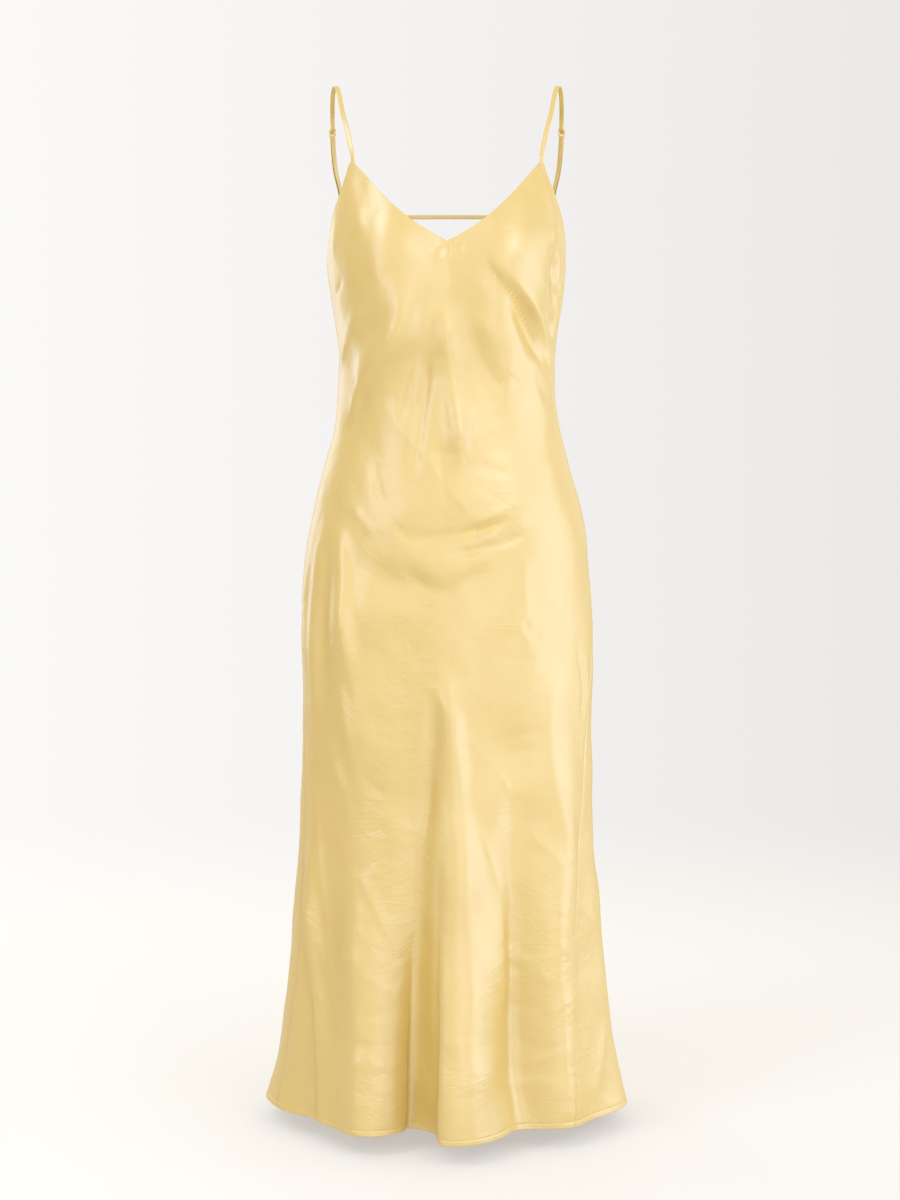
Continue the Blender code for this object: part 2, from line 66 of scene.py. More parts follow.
# Level sections of the body form, from the hem up
Section = namedtuple("Section", "height half_width front back front_square back_square")
SECTIONS = (
    (-1.200, 0.2155, 0.150, 0.153, 2.00, 2.00),
    (-1.150, 0.2030, 0.146, 0.148, 2.02, 2.02),
    (-1.060, 0.1900, 0.138, 0.142, 2.06, 2.06),
    (-0.930, 0.1790, 0.131, 0.137, 2.10, 2.10),
    (-0.800, 0.1712, 0.127, 0.136, 2.12, 2.12),
    (-0.640, 0.1712, 0.124, 0.139, 2.12, 2.12),
    (-0.560, 0.1680, 0.122, 0.135, 2.12, 2.12),
    (-0.480, 0.1555, 0.119, 0.119, 2.12, 2.12),
    (-0.410, 0.1355, 0.112, 0.099, 2.12, 2.16),
    (-0.340, 0.1258, 0.107, 0.090, 2.12, 2.24),
    (-0.280, 0.1295, 0.108, 0.093, 2.18, 2.36),
    (-0.222, 0.1385, 0.111, 0.098, 2.24, 2.50),
    (-0.150, 0.1420, 0.101, 0.103, 2.30, 2.70),
    (-0.090, 0.1395, 0.086, 0.100, 2.30, 2.70),
)

BUST_ACROSS = 78 * MM
BUST_HEIGHT = -205 * MM
BUST_OUT = 24 * MM
BUST_WIDE = 40 * MM
BUST_ABOVE = 55 * MM
BUST_BELOW = 72 * MM
BUST_FACING = 0.55
BETWEEN = 10 * MM          # roundness of the cloth between the cups

Seam = namedtuple("Seam", "height at_minus_x at_plus_x")
SEAMS = (
    (-1.200, -77, 50), (-1.080, -76, 54), (-0.960, -75, 59), (-0.860, -76, 66),
    (-0.780, -79, 73), (-0.700, -84, 80), (-0.600, -89, 87), (-0.400, -91, 91),
    (-0.200, -90, 90),
)

# The large folds, as the frame has them
Fold = namedtuple("Fold", "kind turn_start height_start turn_end height_end half_width depth lean")
FOLDS = (
    ("flute", -46, -0.740, -33, -1.200, 0.040, 0.024, 0),
    ("flute", -14, -0.620, -10, -1.200, 0.024, -0.019, -0.018),
    ("flute", -2, -0.630, 15, -1.200, 0.030, 0.039, -0.050),
    ("flute", 9, -0.790, 23, -1.200, 0.018, 0.022, 0.012),
    ("flute", 37, -0.700, 26, -1.200, 0.020, -0.019, -0.002),
    ("flute", 60, -0.820, 50, -1.200, 0.026, 0.010, 0),
    ("flute", -62, -0.840, -58, -1.200, 0.026, -0.010, 0),
    ("flute", 86, -0.860, 78, -1.200, 0.034, 0.006, 0),
    ("flute", 106, -0.760, 104, -1.200, 0.036, -0.014, 0),
    ("flute", 129, -0.660, 125, -1.200, 0.042, 0.030, 0.006),
    ("flute", 150, -0.740, 147, -1.200, 0.032, -0.018, 0),
    ("flute", 173, -0.690, 169, -1.200, 0.040, 0.036, 0.008),
    ("flute", 193, -0.760, 192, -1.200, 0.030, -0.016, 0),
    ("flute", 214, -0.650, 219, -1.200, 0.042, 0.030, -0.006),
    ("flute", 240, -0.760, 243, -1.200, 0.034, -0.016, 0),
    ("flute", 262, -0.840, 264, -1.200, 0.036, 0.003, 0),
    ("drag", 28, -0.205, 74, -0.320, 0.022, -0.006, 0),
    ("drag", 20, -0.250, 78, -0.400, 0.022, 0.005, 0),
    ("drag", -34, -0.260, -68, -0.400, 0.022, 0.005, 0),
    ("drag", -34, -0.515, 40, -0.500, 0.022, -0.005, 0),
    ("drag", 120, -0.395, 238, -0.385, 0.020, -0.006, 0),
    ("drag", 130, -0.350, 226, -0.342, 0.018, -0.004, 0),
)
FOLD_RADIUS = 150 * MM
DEGREE = FOLD_RADIUS * math.pi / 180   # metres round the body
FLUTE_GROWTH = 0.4

# Steps, in degrees round and metres up, over which the directions of the plain form and
# of the folded cloth are taken
PLAIN_STEP = 0.5
CLOTH_STEPS = (0.4, 2 * MM)

# Creases, smaller than the folds.  A soft one has a round crest and a sharp one a
# pressed line.  Depth is outward for a ridge and inward for a trough.  Its two flanks
# have their own widths: left and right as seen going along its places.  Widths, depths
# and the heights of places are in mm.
Crease = namedtuple("Crease", "shape left right depth places")


def soft(left, right, depth, *places):
    return Crease("soft", left, right, depth, places)


def sharp(left, right, depth, *places):
    return Crease("sharp", left, right, depth, places)


FRONT_CREASES = (
    # from the strap tips and the armholes
    soft(9, 16, 0.8, (-61, -100), (-57, -125), (-52, -155), (-47, -190)),
    soft(9, 9, 1.2, (-66, -140), (-67, -180), (-70, -215)),
    soft(10, 8, 1.2, (61, -104), (62, -135), (63, -170), (62, -200)),
    # bust darts
    sharp(4, 5, -1.1, (-80, -254), (-69, -241), (-64, -231), (-60, -221)),
    sharp(5, 4, -1.3, (80, -254), (70, -243), (63, -234), (58, -223)),
    soft(8, 8, 1.5, (66, -222), (70, -228), (78, -234)),
    # gathers at the point of the neckline
    sharp(3, 3, -0.9, (0.4, -186), (0.6, -196), (1, -208)),
    sharp(3, 3, -0.7, (-0.6, -186), (-4, -192), (-9, -200)),
    sharp(3, 3, -0.7, (1.2, -186), (5, -191), (11, -197)),
    soft(6, 6, 0.7, (-1.5, -188), (-4, -200), (-7, -216)),
    soft(6, 6, 0.6, (2, -188), (4, -201), (6, -214)),
    soft(6, 5, -0.9, (1, -206), (2, -222), (3, -240)),
    # under the bust and over the waist
    soft(28, 24, 10, (-26, -215), (-25, -250), (-27, -275), (-33, -300), (-43, -325),
         (-56, -350)),
    soft(7, 10, 1.6, (-42, -255), (-54, -270), (-68, -300), (-80, -335)),
    soft(8, 10, 1.8, (-36, -296), (-44, -322), (-54, -358), (-65, -395)),
    soft(9, 9, -1.6, (-45, -340), (-54, -372), (-64, -405)),
    soft(8, 7, -1.4, (-19, -290), (-22, -325), (-25, -360), (-27, -400)),
    soft(6, 6, 0.9, (-17, -310), (-18, -345), (-20, -385)),
    soft(10, 12, -3.5, (-12, -285), (-13, -330), (-15, -375), (-17, -420), (-18, -455)),
    soft(18, 18, 6.5, (-5, -245), (1, -310), (4, -360), (7, -400), (10, -465)),
    soft(16, 16, -2, (7, -270), (17, -310), (25, -350), (32, -400)),
    soft(16, 16, 2.5, (17, -255), (24, -285), (33, -318), (44, -350)),
    soft(8, 16, -4.5, (18, -200), (28, -230), (40, -256), (50, -282), (57, -306), (64, -342)),
    soft(14, 8, 5, (29, -200), (39, -230), (51, -256), (61, -282), (68, -306), (74, -342)),
    soft(9, 12, -6, (62, -180), (66, -215), (69, -245), (72, -275), (74, -310)),
    soft(7, 7, -0.5, (20, -313), (27, -336), (36, -358)),
    sharp(4, 6, -0.3, (33, -330), (41, -341), (47, -352)),
    soft(7, 7, 1.4, (50, -309), (60, -331), (74, -356)),
    soft(7, 8, -1.6, (52, -334), (60, -354), (72, -376), (80, -410)),
    sharp(3, 3, -0.6, (70, -352), (70.5, -364), (70, -376)),
    sharp(3, 4, -0.6, (1, -394), (5, -405), (10, -417)),
    sharp(4, 5, -0.55, (-18, -416), (-9, -421), (-1, -423), (19, -423)),
    sharp(7, 5, 0.7, (-44, -366), (-28, -391), (-19, -414), (-12, -429), (-4, -450), (4, -471),
          (12, -489), (24, -513)),
    soft(7, 7, -0.8, (-41, -430), (-38, -459), (-32, -486)),
    soft(5, 5, -0.5, (-3, -425), (-2, -455), (0, -488)),
    soft(6, 6, -0.5, (16, -434), (25, -442), (36, -453)),
    # across the stomach
    soft(45, 18, 3.2, (-34, -490), (-10, -502), (12, -500), (34, -488), (66, -460)),
    soft(15, 26, -3.5, (-52, -530), (-34, -559), (-17, -576), (-4, -581), (12, -570), (35, -540)),
    soft(7, 5, -1.7, (-25, -524), (-9, -520), (4, -517), (15, -513), (28, -503), (40, -488)),
    soft(6, 5, 1, (8, -505), (24, -493), (40, -478)),
    soft(6, 5, -1.4, (-4, -537), (8, -536), (22, -529), (35, -520), (45, -506)),
    soft(6, 6, 0.8, (4, -527), (18, -521), (32, -512)),
    soft(12, 9, -1.8, (-29, -540), (-21, -557), (-12, -570), (-3, -577), (8, -568)),
    sharp(5, 4, -0.45, (-24, -556), (-17, -564), (-11, -572)),
    soft(6, 6, -0.7, (-31, -488), (-25, -510), (-16, -523)),
    soft(7, 7, 0.9, (-52, -480), (-44, -499), (-37, -517)),
    sharp(4, 4, 0.5, (40, -540), (40, -577), (41, -601), (43, -616)),
    sharp(3, 3, 0.8, (37.5, -614), (39, -629), (45, -640)),
    soft(5, 5, -0.6, (39, -610), (41, -622), (48, -632)),
    soft(8, 8, -0.5, (27, -655), (36, -658), (46, -655)),
    # the hip and down to the skirt
    soft(12, 10, -2.2, (-58, -500), (-61, -560), (-62, -620), (-62, -690), (-58, -750)),
    soft(8, 9, 1.2, (-77, -520), (-78, -600), (-76, -680), (-74, -760)),
    soft(10, 20, 6, (-58, -490), (-54, -540), (-51, -590), (-49, -640), (-46, -710)),
    sharp(8, 6, 0.35, (-53, -600), (-44, -621), (-31, -643), (-19, -664), (-9, -687), (0, -708),
          (7, -726), (14, -750), (22, -775), (28, -790), (34, -805), (43, -816), (57, -831)),
    sharp(4, 4, 0.4, (-28, -639), (-24, -645), (-17, -641)),
    soft(7, 9, 0.9, (-58, -620), (-54, -668), (-50, -715), (-45, -790)),
    soft(9, 8, -0.7, (-51, -660), (-46, -717), (-42, -772)),
    soft(8, 9, 0.8, (-64, -690), (-57, -768), (-51, -810), (-44, -840)),
    soft(9, 8, -0.7, (-58, -715), (-50, -784), (-43, -838)),
    sharp(5, 7, -0.7, (-46, -780), (-37, -799), (-27, -811), (-18, -811), (-13, -821)),
    sharp(3, 4, 0.5, (-47, -822), (-49, -834), (-51, -846)),
    sharp(6, 7, 1.3, (-74, -770), (-68, -813), (-64, -858), (-61, -903), (-58, -948),
          (-54, -1005), (-51, -1060), (-48, -1120)),
    sharp(6, 6, 1.1, (-74, -925), (-66, -958), (-60, -987), (-55, -1023), (-52, -1060)),
    soft(9, 8, -2, (-72, -940), (-69, -995), (-66, -1060), (-66, -1110)),
    # the left of the skirt
    soft(8, 6, 0.8, (-46, -890), (-40, -908), (-34, -936), (-28, -965), (-23, -985),
         (-17, -1020)),
    sharp(5, 4, -0.5, (-47, -856), (-36, -854), (-26, -849)),
    sharp(5, 4, -0.6, (-48, -905), (-40, -897), (-34, -887), (-28, -876)),
    sharp(4, 5, 0.5, (-50, -985), (-42, -997), (-36, -1006)),
    sharp(5, 5, 0.7, (-39, -1010), (-30, -1024), (-23, -1036), (-18, -1050)),
    sharp(5, 5, -0.6, (-41, -1066), (-33, -1059), (-25, -1053), (-19, -1049)),
    sharp(5, 6, 0.7, (-43, -1106), (-36, -1112), (-28, -1115), (-18, -1114)),
    sharp(4, 5, -0.6, (-39, -1134), (-31, -1126), (-22, -1120)),
    sharp(4, 4, 0.5, (-34, -990), (-28, -1002), (-21, -1016)),
    sharp(3, 3, 0.4, (-40, -960), (-38, -970), (-36, -978)),
    soft(6, 6, -0.7, (-44, -1085), (-36, -1092), (-27, -1090)),
    # the broad shape: flat in front, turning quickly over the hips
    soft(24, 46, 6, (55, -610), (56, -750), (56, -860), (53, -960), (50, -1060), (47, -1170),
         (45, -1300)),
    soft(30, 26, 5, (-48, -540), (-48, -650), (-47, -750), (-46, -820)),
    soft(34, 34, -2.5, (-23, -540), (-22, -660), (-22, -790)),
    soft(34, 34, -3.5, (27, -590), (27, -700), (30, -820)),
    soft(12, 9, 3, (-66, -480), (-69, -570), (-69, -680), (-69, -800)),
    # beside the central ridge
    soft(12, 12, -1.5, (-9, -750), (-11, -850), (-11, -950), (-10, -1060), (-8, -1300)),
    soft(11, 16, 3.5, (-10, -830), (-12, -920), (-14, -1040), (-15, -1120), (-16, -1300)),
    soft(18, 10, -5, (3, -850), (4, -950), (5, -1060), (7, -1300)),
    soft(14, 18, 5, (25, -850), (26, -980), (27, -1060), (28, -1300)),
    soft(26, 18, -3.5, (35, -680), (35, -900), (35, -1060), (36, -1300)),
    soft(14, 24, 5, (58, -760), (57, -860), (55, -920), (51, -990), (50, -1060), (49, -1170),
         (48, -1300)),
    soft(30, 18, 4, (-43, -870), (-41, -980), (-38, -1050), (-34, -1280)),
    soft(16, 16, -1.5, (-57, -880), (-54, -980), (-50, -1060), (-44, -1280)),
    soft(13, 9, 6.5, (-68, -780), (-67, -900), (-65, -980), (-60, -1060), (-54, -1170),
         (-50, -1300)),
    # the central ridge
    soft(13, 16, 5.5, (0, -650), (2, -710), (5, -760), (9, -830), (12, -900), (14, -990)),
    soft(12, 10, -3, (-7, -680), (-7, -750), (-8, -830), (-9, -900)),
    sharp(3, 3, -0.35, (4, -961), (10, -961), (15, -960)),
    sharp(3, 4, 0.4, (9, -1069), (13, -1080), (17, -1088)),
    soft(5, 5, 0.6, (14, -970), (17, -1014), (18, -1060)),
    soft(5, 5, -0.5, (18, -990), (20, -1030), (21, -1075)),
    # the right of the skirt
    sharp(9, 5, 1.3, (17, -845), (21, -872), (25, -905), (31, -938), (37, -962)),
    sharp(5, 5, 0.7, (25, -788), (30, -799), (33, -814)),
    sharp(5, 5, -0.3, (18, -750), (29, -744), (39, -742), (49, -739), (58, -733)),
    sharp(5, 5, -0.4, (28, -766), (36, -762), (47, -755)),
    sharp(6, 5, 0.9, (40, -848), (45, -868), (50, -883), (55, -902)),
    soft(9, 9, 1.4, (56, -670), (51, -740), (52, -796), (56, -844), (58, -900), (58, -950)),
    soft(8, 8, 1.2, (58, -920), (57, -980), (55, -1040), (52, -1090), (48, -1130)),
    sharp(4, 4, -1.3, (66, -628), (69, -660), (71.5, -690), (72, -715), (70, -742)),
    soft(5, 5, 1, (74, -650), (77, -690), (77, -730)),
    sharp(4, 5, 0.6, (31, -1121), (40, -1114), (46, -1107), (51, -1098)),
    sharp(4, 4, -0.4, (27, -1055), (32, -1050), (38, -1055), (47, -1057)),
    sharp(4, 5, -0.5, (28, -1082), (36, -1094), (44, -1101), (51, -1092)),
    sharp(4, 4, -0.5, (34, -987), (38, -991), (43, -995)),
    sharp(3, 3, 0.6, (41, -1008), (44, -1020), (45, -1030)),
    soft(6, 6, -0.7, (25, -998), (32, -1008), (40, -1015)),
    soft(7, 7, 0.7, (26, -1135), (35, -1140), (46, -1134)),
)
SIDE_CREASES = (
    # beside the right side seam, on the back panel where it comes forward
    sharp(5, 5, 0.7, (60, -937), (68, -957), (79, -983)),
    soft(7, 7, 1.3, (79, -1075), (71, -1119), (66, -1150), (60, -1182)),
    soft(9, 9, -1.2, (88, -800), (86, -880), (83, -960)),
    sharp(5, 5, 0.6, (95, -640), (103, -655), (114, -690)),
    sharp(4, 5, -0.6, (84, -430), (96, -455), (110, -470)),
    soft(7, 7, -1.2, (82, -345), (98, -352), (116, -345)),
    soft(7, 7, 1, (84, -372), (100, -380), (120, -370)),
    sharp(5, 5, 0.6, (92, -1020), (100, -1036), (112, -1045)),
    # the left side
    sharp(5, 5, 0.6, (-96, -620), (-105, -640), (-117, -680)),
    soft(8, 8, -1.2, (-88, -340), (-103, -350), (-120, -345)),
    soft(7, 7, 1, (-86, -370), (-103, -382), (-122, -372)),
    sharp(4, 4, -0.6, (-94, -930), (-103, -944), (-112, -950)),
    sharp(5, 5, 0.5, (-90, -1030), (-100, -1048), (-113, -1060)),
    soft(9, 9, -1, (-97, -790), (-96, -880), (-95, -980)),
)
BACK_CREASES = (
    # hanging from the corners of the low back
    soft(9, 9, 1.4, (118, -170), (124, -205), (132, -240), (143, -275)),
    soft(9, 9, 1.4, (-118, -170), (-124, -205), (-131, -245), (-141, -280)),
    soft(7, 7, -1, (112, -200), (118, -240), (128, -280)),
    soft(7, 7, -1, (-112, -205), (-119, -245), (-129, -290)),
    soft(9, 9, -1.1, (150, -275), (164, -300), (180, -308), (196, -300), (210, -275)),
    # over the hollow of the waist
    soft(8, 6, -1.8, (128, -405), (150, -415), (172, -412), (190, -402)),
    soft(7, 6, 1.1, (136, -425), (156, -436), (180, -434), (200, -420)),
    soft(7, 6, -1.4, (166, -375), (186, -380), (208, -386), (228, -378)),
    sharp(5, 5, -0.6, (140, -448), (152, -458), (168, -460)),
    sharp(5, 6, 0.8, (-112, -420), (-124, -452), (-138, -490), (-152, -522), (-168, -548)),
    sharp(5, 5, -0.5, (190, -455), (201, -462), (214, -461)),
    soft(8, 8, 0.9, (120, -455), (128, -495), (134, -535)),
    # over the seat
    soft(9, 7, -1.1, (158, -640), (170, -655), (184, -657), (198, -645)),
    sharp(5, 5, 0.5, (126, -560), (136, -585), (147, -605)),
    sharp(6, 6, 0.7, (222, -575), (208, -610), (193, -650), (178, -690), (164, -722)),
    soft(8, 8, -0.8, (138, -640), (142, -680), (144, -725)),
    soft(8, 8, -0.9, (228, -610), (232, -660), (233, -705)),
    sharp(4, 4, -0.4, (178, -588), (186, -597), (195, -599)),
    # the back of the skirt
    sharp(6, 6, 0.8, (112, -770), (120, -798), (131, -820), (143, -832)),
    sharp(5, 5, -0.6, (150, -805), (159, -797), (168, -796)),
    sharp(5, 5, 0.6, (186, -790), (197, -805), (209, -812)),
    sharp(6, 5, 0.9, (232, -800), (226, -840), (218, -880), (212, -915)),
    sharp(5, 5, -0.5, (240, -868), (250, -860), (259, -861)),
    sharp(5, 6, 0.8, (118, -880), (124, -915), (128, -955), (135, -990)),
    sharp(5, 5, -0.6, (155, -905), (165, -918), (178, -921)),
    sharp(5, 5, 0.6, (196, -925), (205, -938), (214, -942)),
    sharp(4, 5, -0.6, (100, -965), (110, -958), (121, -961)),
    sharp(5, 5, 0.7, (228, -985), (237, -998), (248, -1003)),
    sharp(5, 5, 0.6, (160, -985), (168, -1006), (172, -1034)),
    sharp(5, 5, -0.6, (128, -1052), (138, -1045), (149, -1048)),
    sharp(5, 5, 0.6, (178, -1068), (188, -1080), (199, -1083)),
    sharp(5, 5, -0.5, (216, -1062), (226, -1054), (236, -1057)),
    sharp(4, 5, 0.5, (108, -1098), (117, -1108), (127, -1110)),
    sharp(5, 5, -0.6, (152, -1121), (163, -1129), (174, -1128)),
    sharp(5, 5, 0.6, (206, -1120), (217, -1133), (230, -1136)),
)
CREASES = FRONT_CREASES + SIDE_CREASES + BACK_CREASES   # each moves both panels, so seams meet
CREST = 1.8 * MM           # roundness of a sharp crease's crest
CREASE_GAIN = 1.3
CREASE_STEP = 4 * MM
CREASE_REACH = {"soft": 3.0, "sharp": 5.0}   # how many widths away it is still worked out
CREASE_FADE = 0.3          # share of its length over which each end fades
UNEVEN = 0.3               # share by which a crease's depth wanders along it
WANDERS = 1.7              # how often it does so
WANDER_LAG = 0.37          # and how much later than the crease before it in the list

# Waves too small and too many to place: wavelength, height, and how many are summed
RIPPLES = ((0.110, 0.00060, 14), (0.045, 0.00024, 18), (0.016, 0.00005, 20))
RIPPLE_RANGE = (0.7, 1.4)  # shares of the wavelength that the waves have

# Top edges, as (turn, height) from the centre outwards
NECKLINE = ((0, -0.1870), (20, -0.1655), (37, -0.1390), (50, -0.1130), (59, -0.0955))
FRONT_ARMHOLE = (
    (61.8, -0.0955), (64.3, -0.1210), (68.8, -0.1470), (73.5, -0.1735),
    (77.5, -0.1960), (83.0, -0.2070), (90.0, UNDERARM_HEIGHT),
)
SCOOP = (
    (0.0, -0.2750), (16.0, -0.2700), (32.0, -0.2500), (45.0, -0.2150),
    (55.5, -0.1780), (62.0, -0.1490), (62.4, -0.1380),
)
BACK_ARMHOLE = (
    (65.3, -0.1380), (66.8, -0.1500), (70.5, -0.1720), (76.0, -0.1930),
    (83.0, -0.2055), (90.0, UNDERARM_HEIGHT),
)

# Fine grids of the panels
CENTRE_COLUMNS = 66        # along half the neckline or the scoop
TIP_COLUMNS = 3            # across a strap tip
ARMHOLE_COLUMNS = 44
ARMHOLE_SAMPLES = 400
PANEL_ROWS = 345
ROW_CROWDING = 1.15
FAN_SHARE = 0.5            # of the height, over which the columns spread out evenly
EDGE_STEPS = (0.5, 1.1, 1.9, 2.9, 4.2, 6.0)             # from a seam or a top edge, in mm
HEM_STEPS = (0.5, 1.2, 2.2, 3.2, 4.0, 4.5, 5.0, 5.5, 6.0, 6.8, 8.2)   # up from the hem, in mm
INSIDE_EVERY = 3           # the inside has every third row and column
INSIDE_ROWS = slice(3, -5)   # and stops short of the turned edges

# Sewing
EDGE_ROLL = 0.5 * MM       # radius of a turned edge
EDGE_ANGLES = (45, 90, 135, 180)
HEM_ROLL = 0.7 * MM
HEM_TURN = 5.5 * MM        # depth of the turned hem, up to its stitches
HEM_FLAP_ROWS = 8
HEM_GROOVE = 0.35 * MM     # depth of the line that the hem's stitches pull in
HEM_GROOVE_WIDE = 0.8 * MM
HEM_BAND = 0.25 * MM       # how much the doubled hem stands out
HEM_BAND_OVER = 1.5 * MM
PUCKER = 0.05 * MM         # height of the puckers beside the sewing
PUCKER_WAVES = 12
PUCKER_LENGTHS = (7 * MM, 15 * MM)
PUCKER_PHASES = 6.0
PUCKER_BY_SEAM = 7 * MM    # how far from a seam, and from the hem's stitches, they fade
PUCKER_BY_HEM = 6 * MM
INSIDE_OFF = 1.0 * MM
SEAM_DIP = 0.9 * MM
SEAM_WIDE = 2.2 * MM
SEAM_IN = 1.6 * MM
SEAM_FLAT_BELOW = -0.940   # the right seam lies flatter towards the hem
SEAM_FLAT_OVER = 120 * MM
SEAM_FLAT_SHARE = 0.8

# Straps: the route of one, from the top of the front tip to the back corner, as across,
# back and height, and the turn in degrees that its width faces
STRAP_WIDTH = 5.4 * MM
STRAP_THICK = 0.9 * MM
ROULEAU_THICK = 1.05 * MM  # of the stitched tube, over the seam allowance inside its edges
STRAP_ROUTE = (
    (0.1085, -0.058, -0.0798, 28),
    (0.1150, -0.044, -0.0509, 18),
    (0.1192, -0.034, -0.0359, 12),
    (0.1227, -0.020, -0.0192, 6),
    (0.1261, -0.008, -0.0050, 2),
    (0.1290, 0.000, 0.0005, 0),
    (0.1322, 0.010, -0.0030, -4),
    (0.1340, 0.020, -0.0141, -10),
    (0.1348, 0.032, -0.0290, -18),
    (0.1353, 0.042, -0.0469, -26),
    (0.1343, 0.052, -0.0725, -36),
    (0.1325, 0.058, -0.0906, -44),
)
STRAP_STEP = 5 * MM
STRAP_LANDING = (12 * MM, 6 * MM, 0.0)   # heights over the back corner on its last way down
STRAP_RINGS = (7, 150, 60, 40, 24, 60)   # in the tip, to and through the slider, to and round
                                         # the ring, back up
STRAP_SEWN = 8 * MM        # how far the strap goes down inside the tip
STRAP_BEHIND = 0.45 * MM
STRAP_STITCHES = (2.5 * MM, 5.5 * MM)
BAND_SIDES = 20
BAND_FLATNESS = 0.62
BAND_CORD = 0.22           # share by which a strap is thicker beside its edges
CORD_AT = 0.68             # where that is, and how wide, as shares of its half width
CORD_WIDE = 0.14
BAND_END = 0.7 * MM
BAND_END_SIZE = 0.06       # squared share of the band's size at its very end
BAND_WANDERS = ((0.012, 0.0061, 0), (0.010, 0.0023, 1))   # of its width: share, metres, phase
PLATE_THICK = 0.9 * MM
PLATE_WIDTH = 8.6 * MM
PLATE_ROUND = 0.22 * MM
BAR = 1.0 * MM
SLIDER_HEIGHT = -0.0469
SLIDER_WINDOW = 3.1 * MM
SLIDER_WINDOWS = 2
RING_WINDOW = 3.6 * MM
PLATE_CORNER = 1.1 * MM
CORNER_STEPS = 8
CORNER_DROP = 6 * MM       # over which a strap corner's way up is taken
WEAVE = 1.35 * MM
WEAVE_FADE = 4
LOOP_WIDTH = 5.0 * MM
LOOP_THICK = 0.7 * MM
LOOP_LEG = 5.5 * MM
LOOP_POINTS = (6, 25)      # along each leg and round the fold
LOOP_RINGS = 60
LOOP_STITCHES = (1.4 * MM, 4.4 * MM)
RING_RISE = 1.9 * MM
BACK_STRAP_WIDTH = 5.0 * MM
BACK_STRAP_THICK = 1.2 * MM
BACK_STRAP_HEIGHT = -0.1412
BACK_STRAP_RISE = 2.0 * MM
BACK_STRAP_STEPS = 240
BACK_STRAP_SEWN = 3.0 * MM

# Thread.  A stitch's rings have a share of its length, and a lift and a size in threads
THREAD = 0.26 * MM
THREAD_SIDES = 6
STITCH_PITCH = 2.4 * MM
STITCH_LENGTH = 1.9 * MM
STITCH = ((0, -0.9, 0.35), (0.12, 0.3, 0.95), (0.5, 0.7, 1), (0.88, 0.3, 0.95), (1, -0.9, 0.35))
BAR_HALF = 0.42            # half of a bar of stitches across a strap's end, by its width
BAR_POINTS = 5


# ---------------------------------------------------------------- curves and lines

def spline(knots, values):
    """Natural cubic spline through values at rising knots, held level past its ends."""
    knots, values = np.asarray(knots, float), np.asarray(values, float)
    gap = np.diff(knots)
    slope = np.diff(values) / gap
    matrix = np.eye(len(knots))
    right = np.zeros(len(knots))
    for i in range(1, len(knots) - 1):
        matrix[i, i - 1:i + 2] = gap[i - 1], 2 * (gap[i - 1] + gap[i]), gap[i]
        right[i] = 6 * (slope[i] - slope[i - 1])
    bend = np.linalg.solve(matrix, right)

    def at(x):
        x = np.clip(x, knots[0], knots[-1])
        i = np.clip(np.searchsorted(knots, x) - 1, 0, len(knots) - 2)
        a = (knots[i + 1] - x) / gap[i]
        b = 1 - a
        rounded = ((a ** 3 - a) * bend[i] + (b ** 3 - b) * bend[i + 1]) * gap[i] ** 2 / 6
        return a * values[i] + b * values[i + 1] + rounded

    return at


def curve(steps, rows):
    """Smooth curve through the rows of a table, by rising steps."""
    splines = [spline(steps, column) for column in np.transpose(rows)]
    return lambda at: np.stack([one(at) for one in splines], axis=-1)


def columns(kind, rows):
    """Splines of a table's columns over its first one, which rises."""
    table = np.transpose(rows)
    return kind(*[spline(table[0], column) for column in table])


SECTION = columns(Section, SECTIONS)
SEAM = columns(Seam, SEAMS)


def smooth_step(t):
    t = np.clip(t, 0.0, 1.0)
    return t * t * (3 - 2 * t)


def unit(vectors):
    return vectors / np.linalg.norm(vectors, axis=-1, keepdims=True)


def distances(points, axis=0):
    """How far along its line each point is; lines run along an axis of the points."""
    steps = np.linalg.norm(np.diff(points, axis=axis), axis=-1)
    return np.insert(np.cumsum(steps, axis=axis), 0, 0, axis=axis)


def straight_between(at, steps, rows):
    """Points on straight lines between the rows of a table."""
    return np.stack([np.interp(at, steps, column) for column in rows.T], axis=-1)


# ---------------------------------------------------------------- the cloth's form

def body_form(turn, height):
    """Points of the plain form, without folds, at turns in degrees and heights."""
    angle = np.radians(turn)
    ahead = np.cos(angle) >= 0
    depth = np.where(ahead, SECTION.front(height), SECTION.back(height))
    square = np.where(ahead, SECTION.front_square(height), SECTION.back_square(height))
    across = np.abs(np.sin(angle)) / SECTION.half_width(height)
    along = np.abs(np.cos(angle)) / depth
    radius = (across ** square + along ** square) ** (-1 / square)
    x = radius * np.sin(angle)
    y = -radius * np.cos(angle)
    above = height > BUST_HEIGHT
    up = (height - BUST_HEIGHT) / np.where(above, BUST_ABOVE, BUST_BELOW)
    beside = (np.sqrt(x ** 2 + BETWEEN ** 2) - BUST_ACROSS) / BUST_WIDE
    facing = smooth_step(np.cos(angle) / BUST_FACING)
    y = y - BUST_OUT * facing * np.exp(-(beside ** 2 + up ** 2) / 2)
    return np.stack([x, y, height + 0 * x], axis=-1)


def metres_round(start, turn):
    """How far round the body turns are from a start, the short way."""
    return DEGREE * ((turn - start + 180) % 360 - 180)


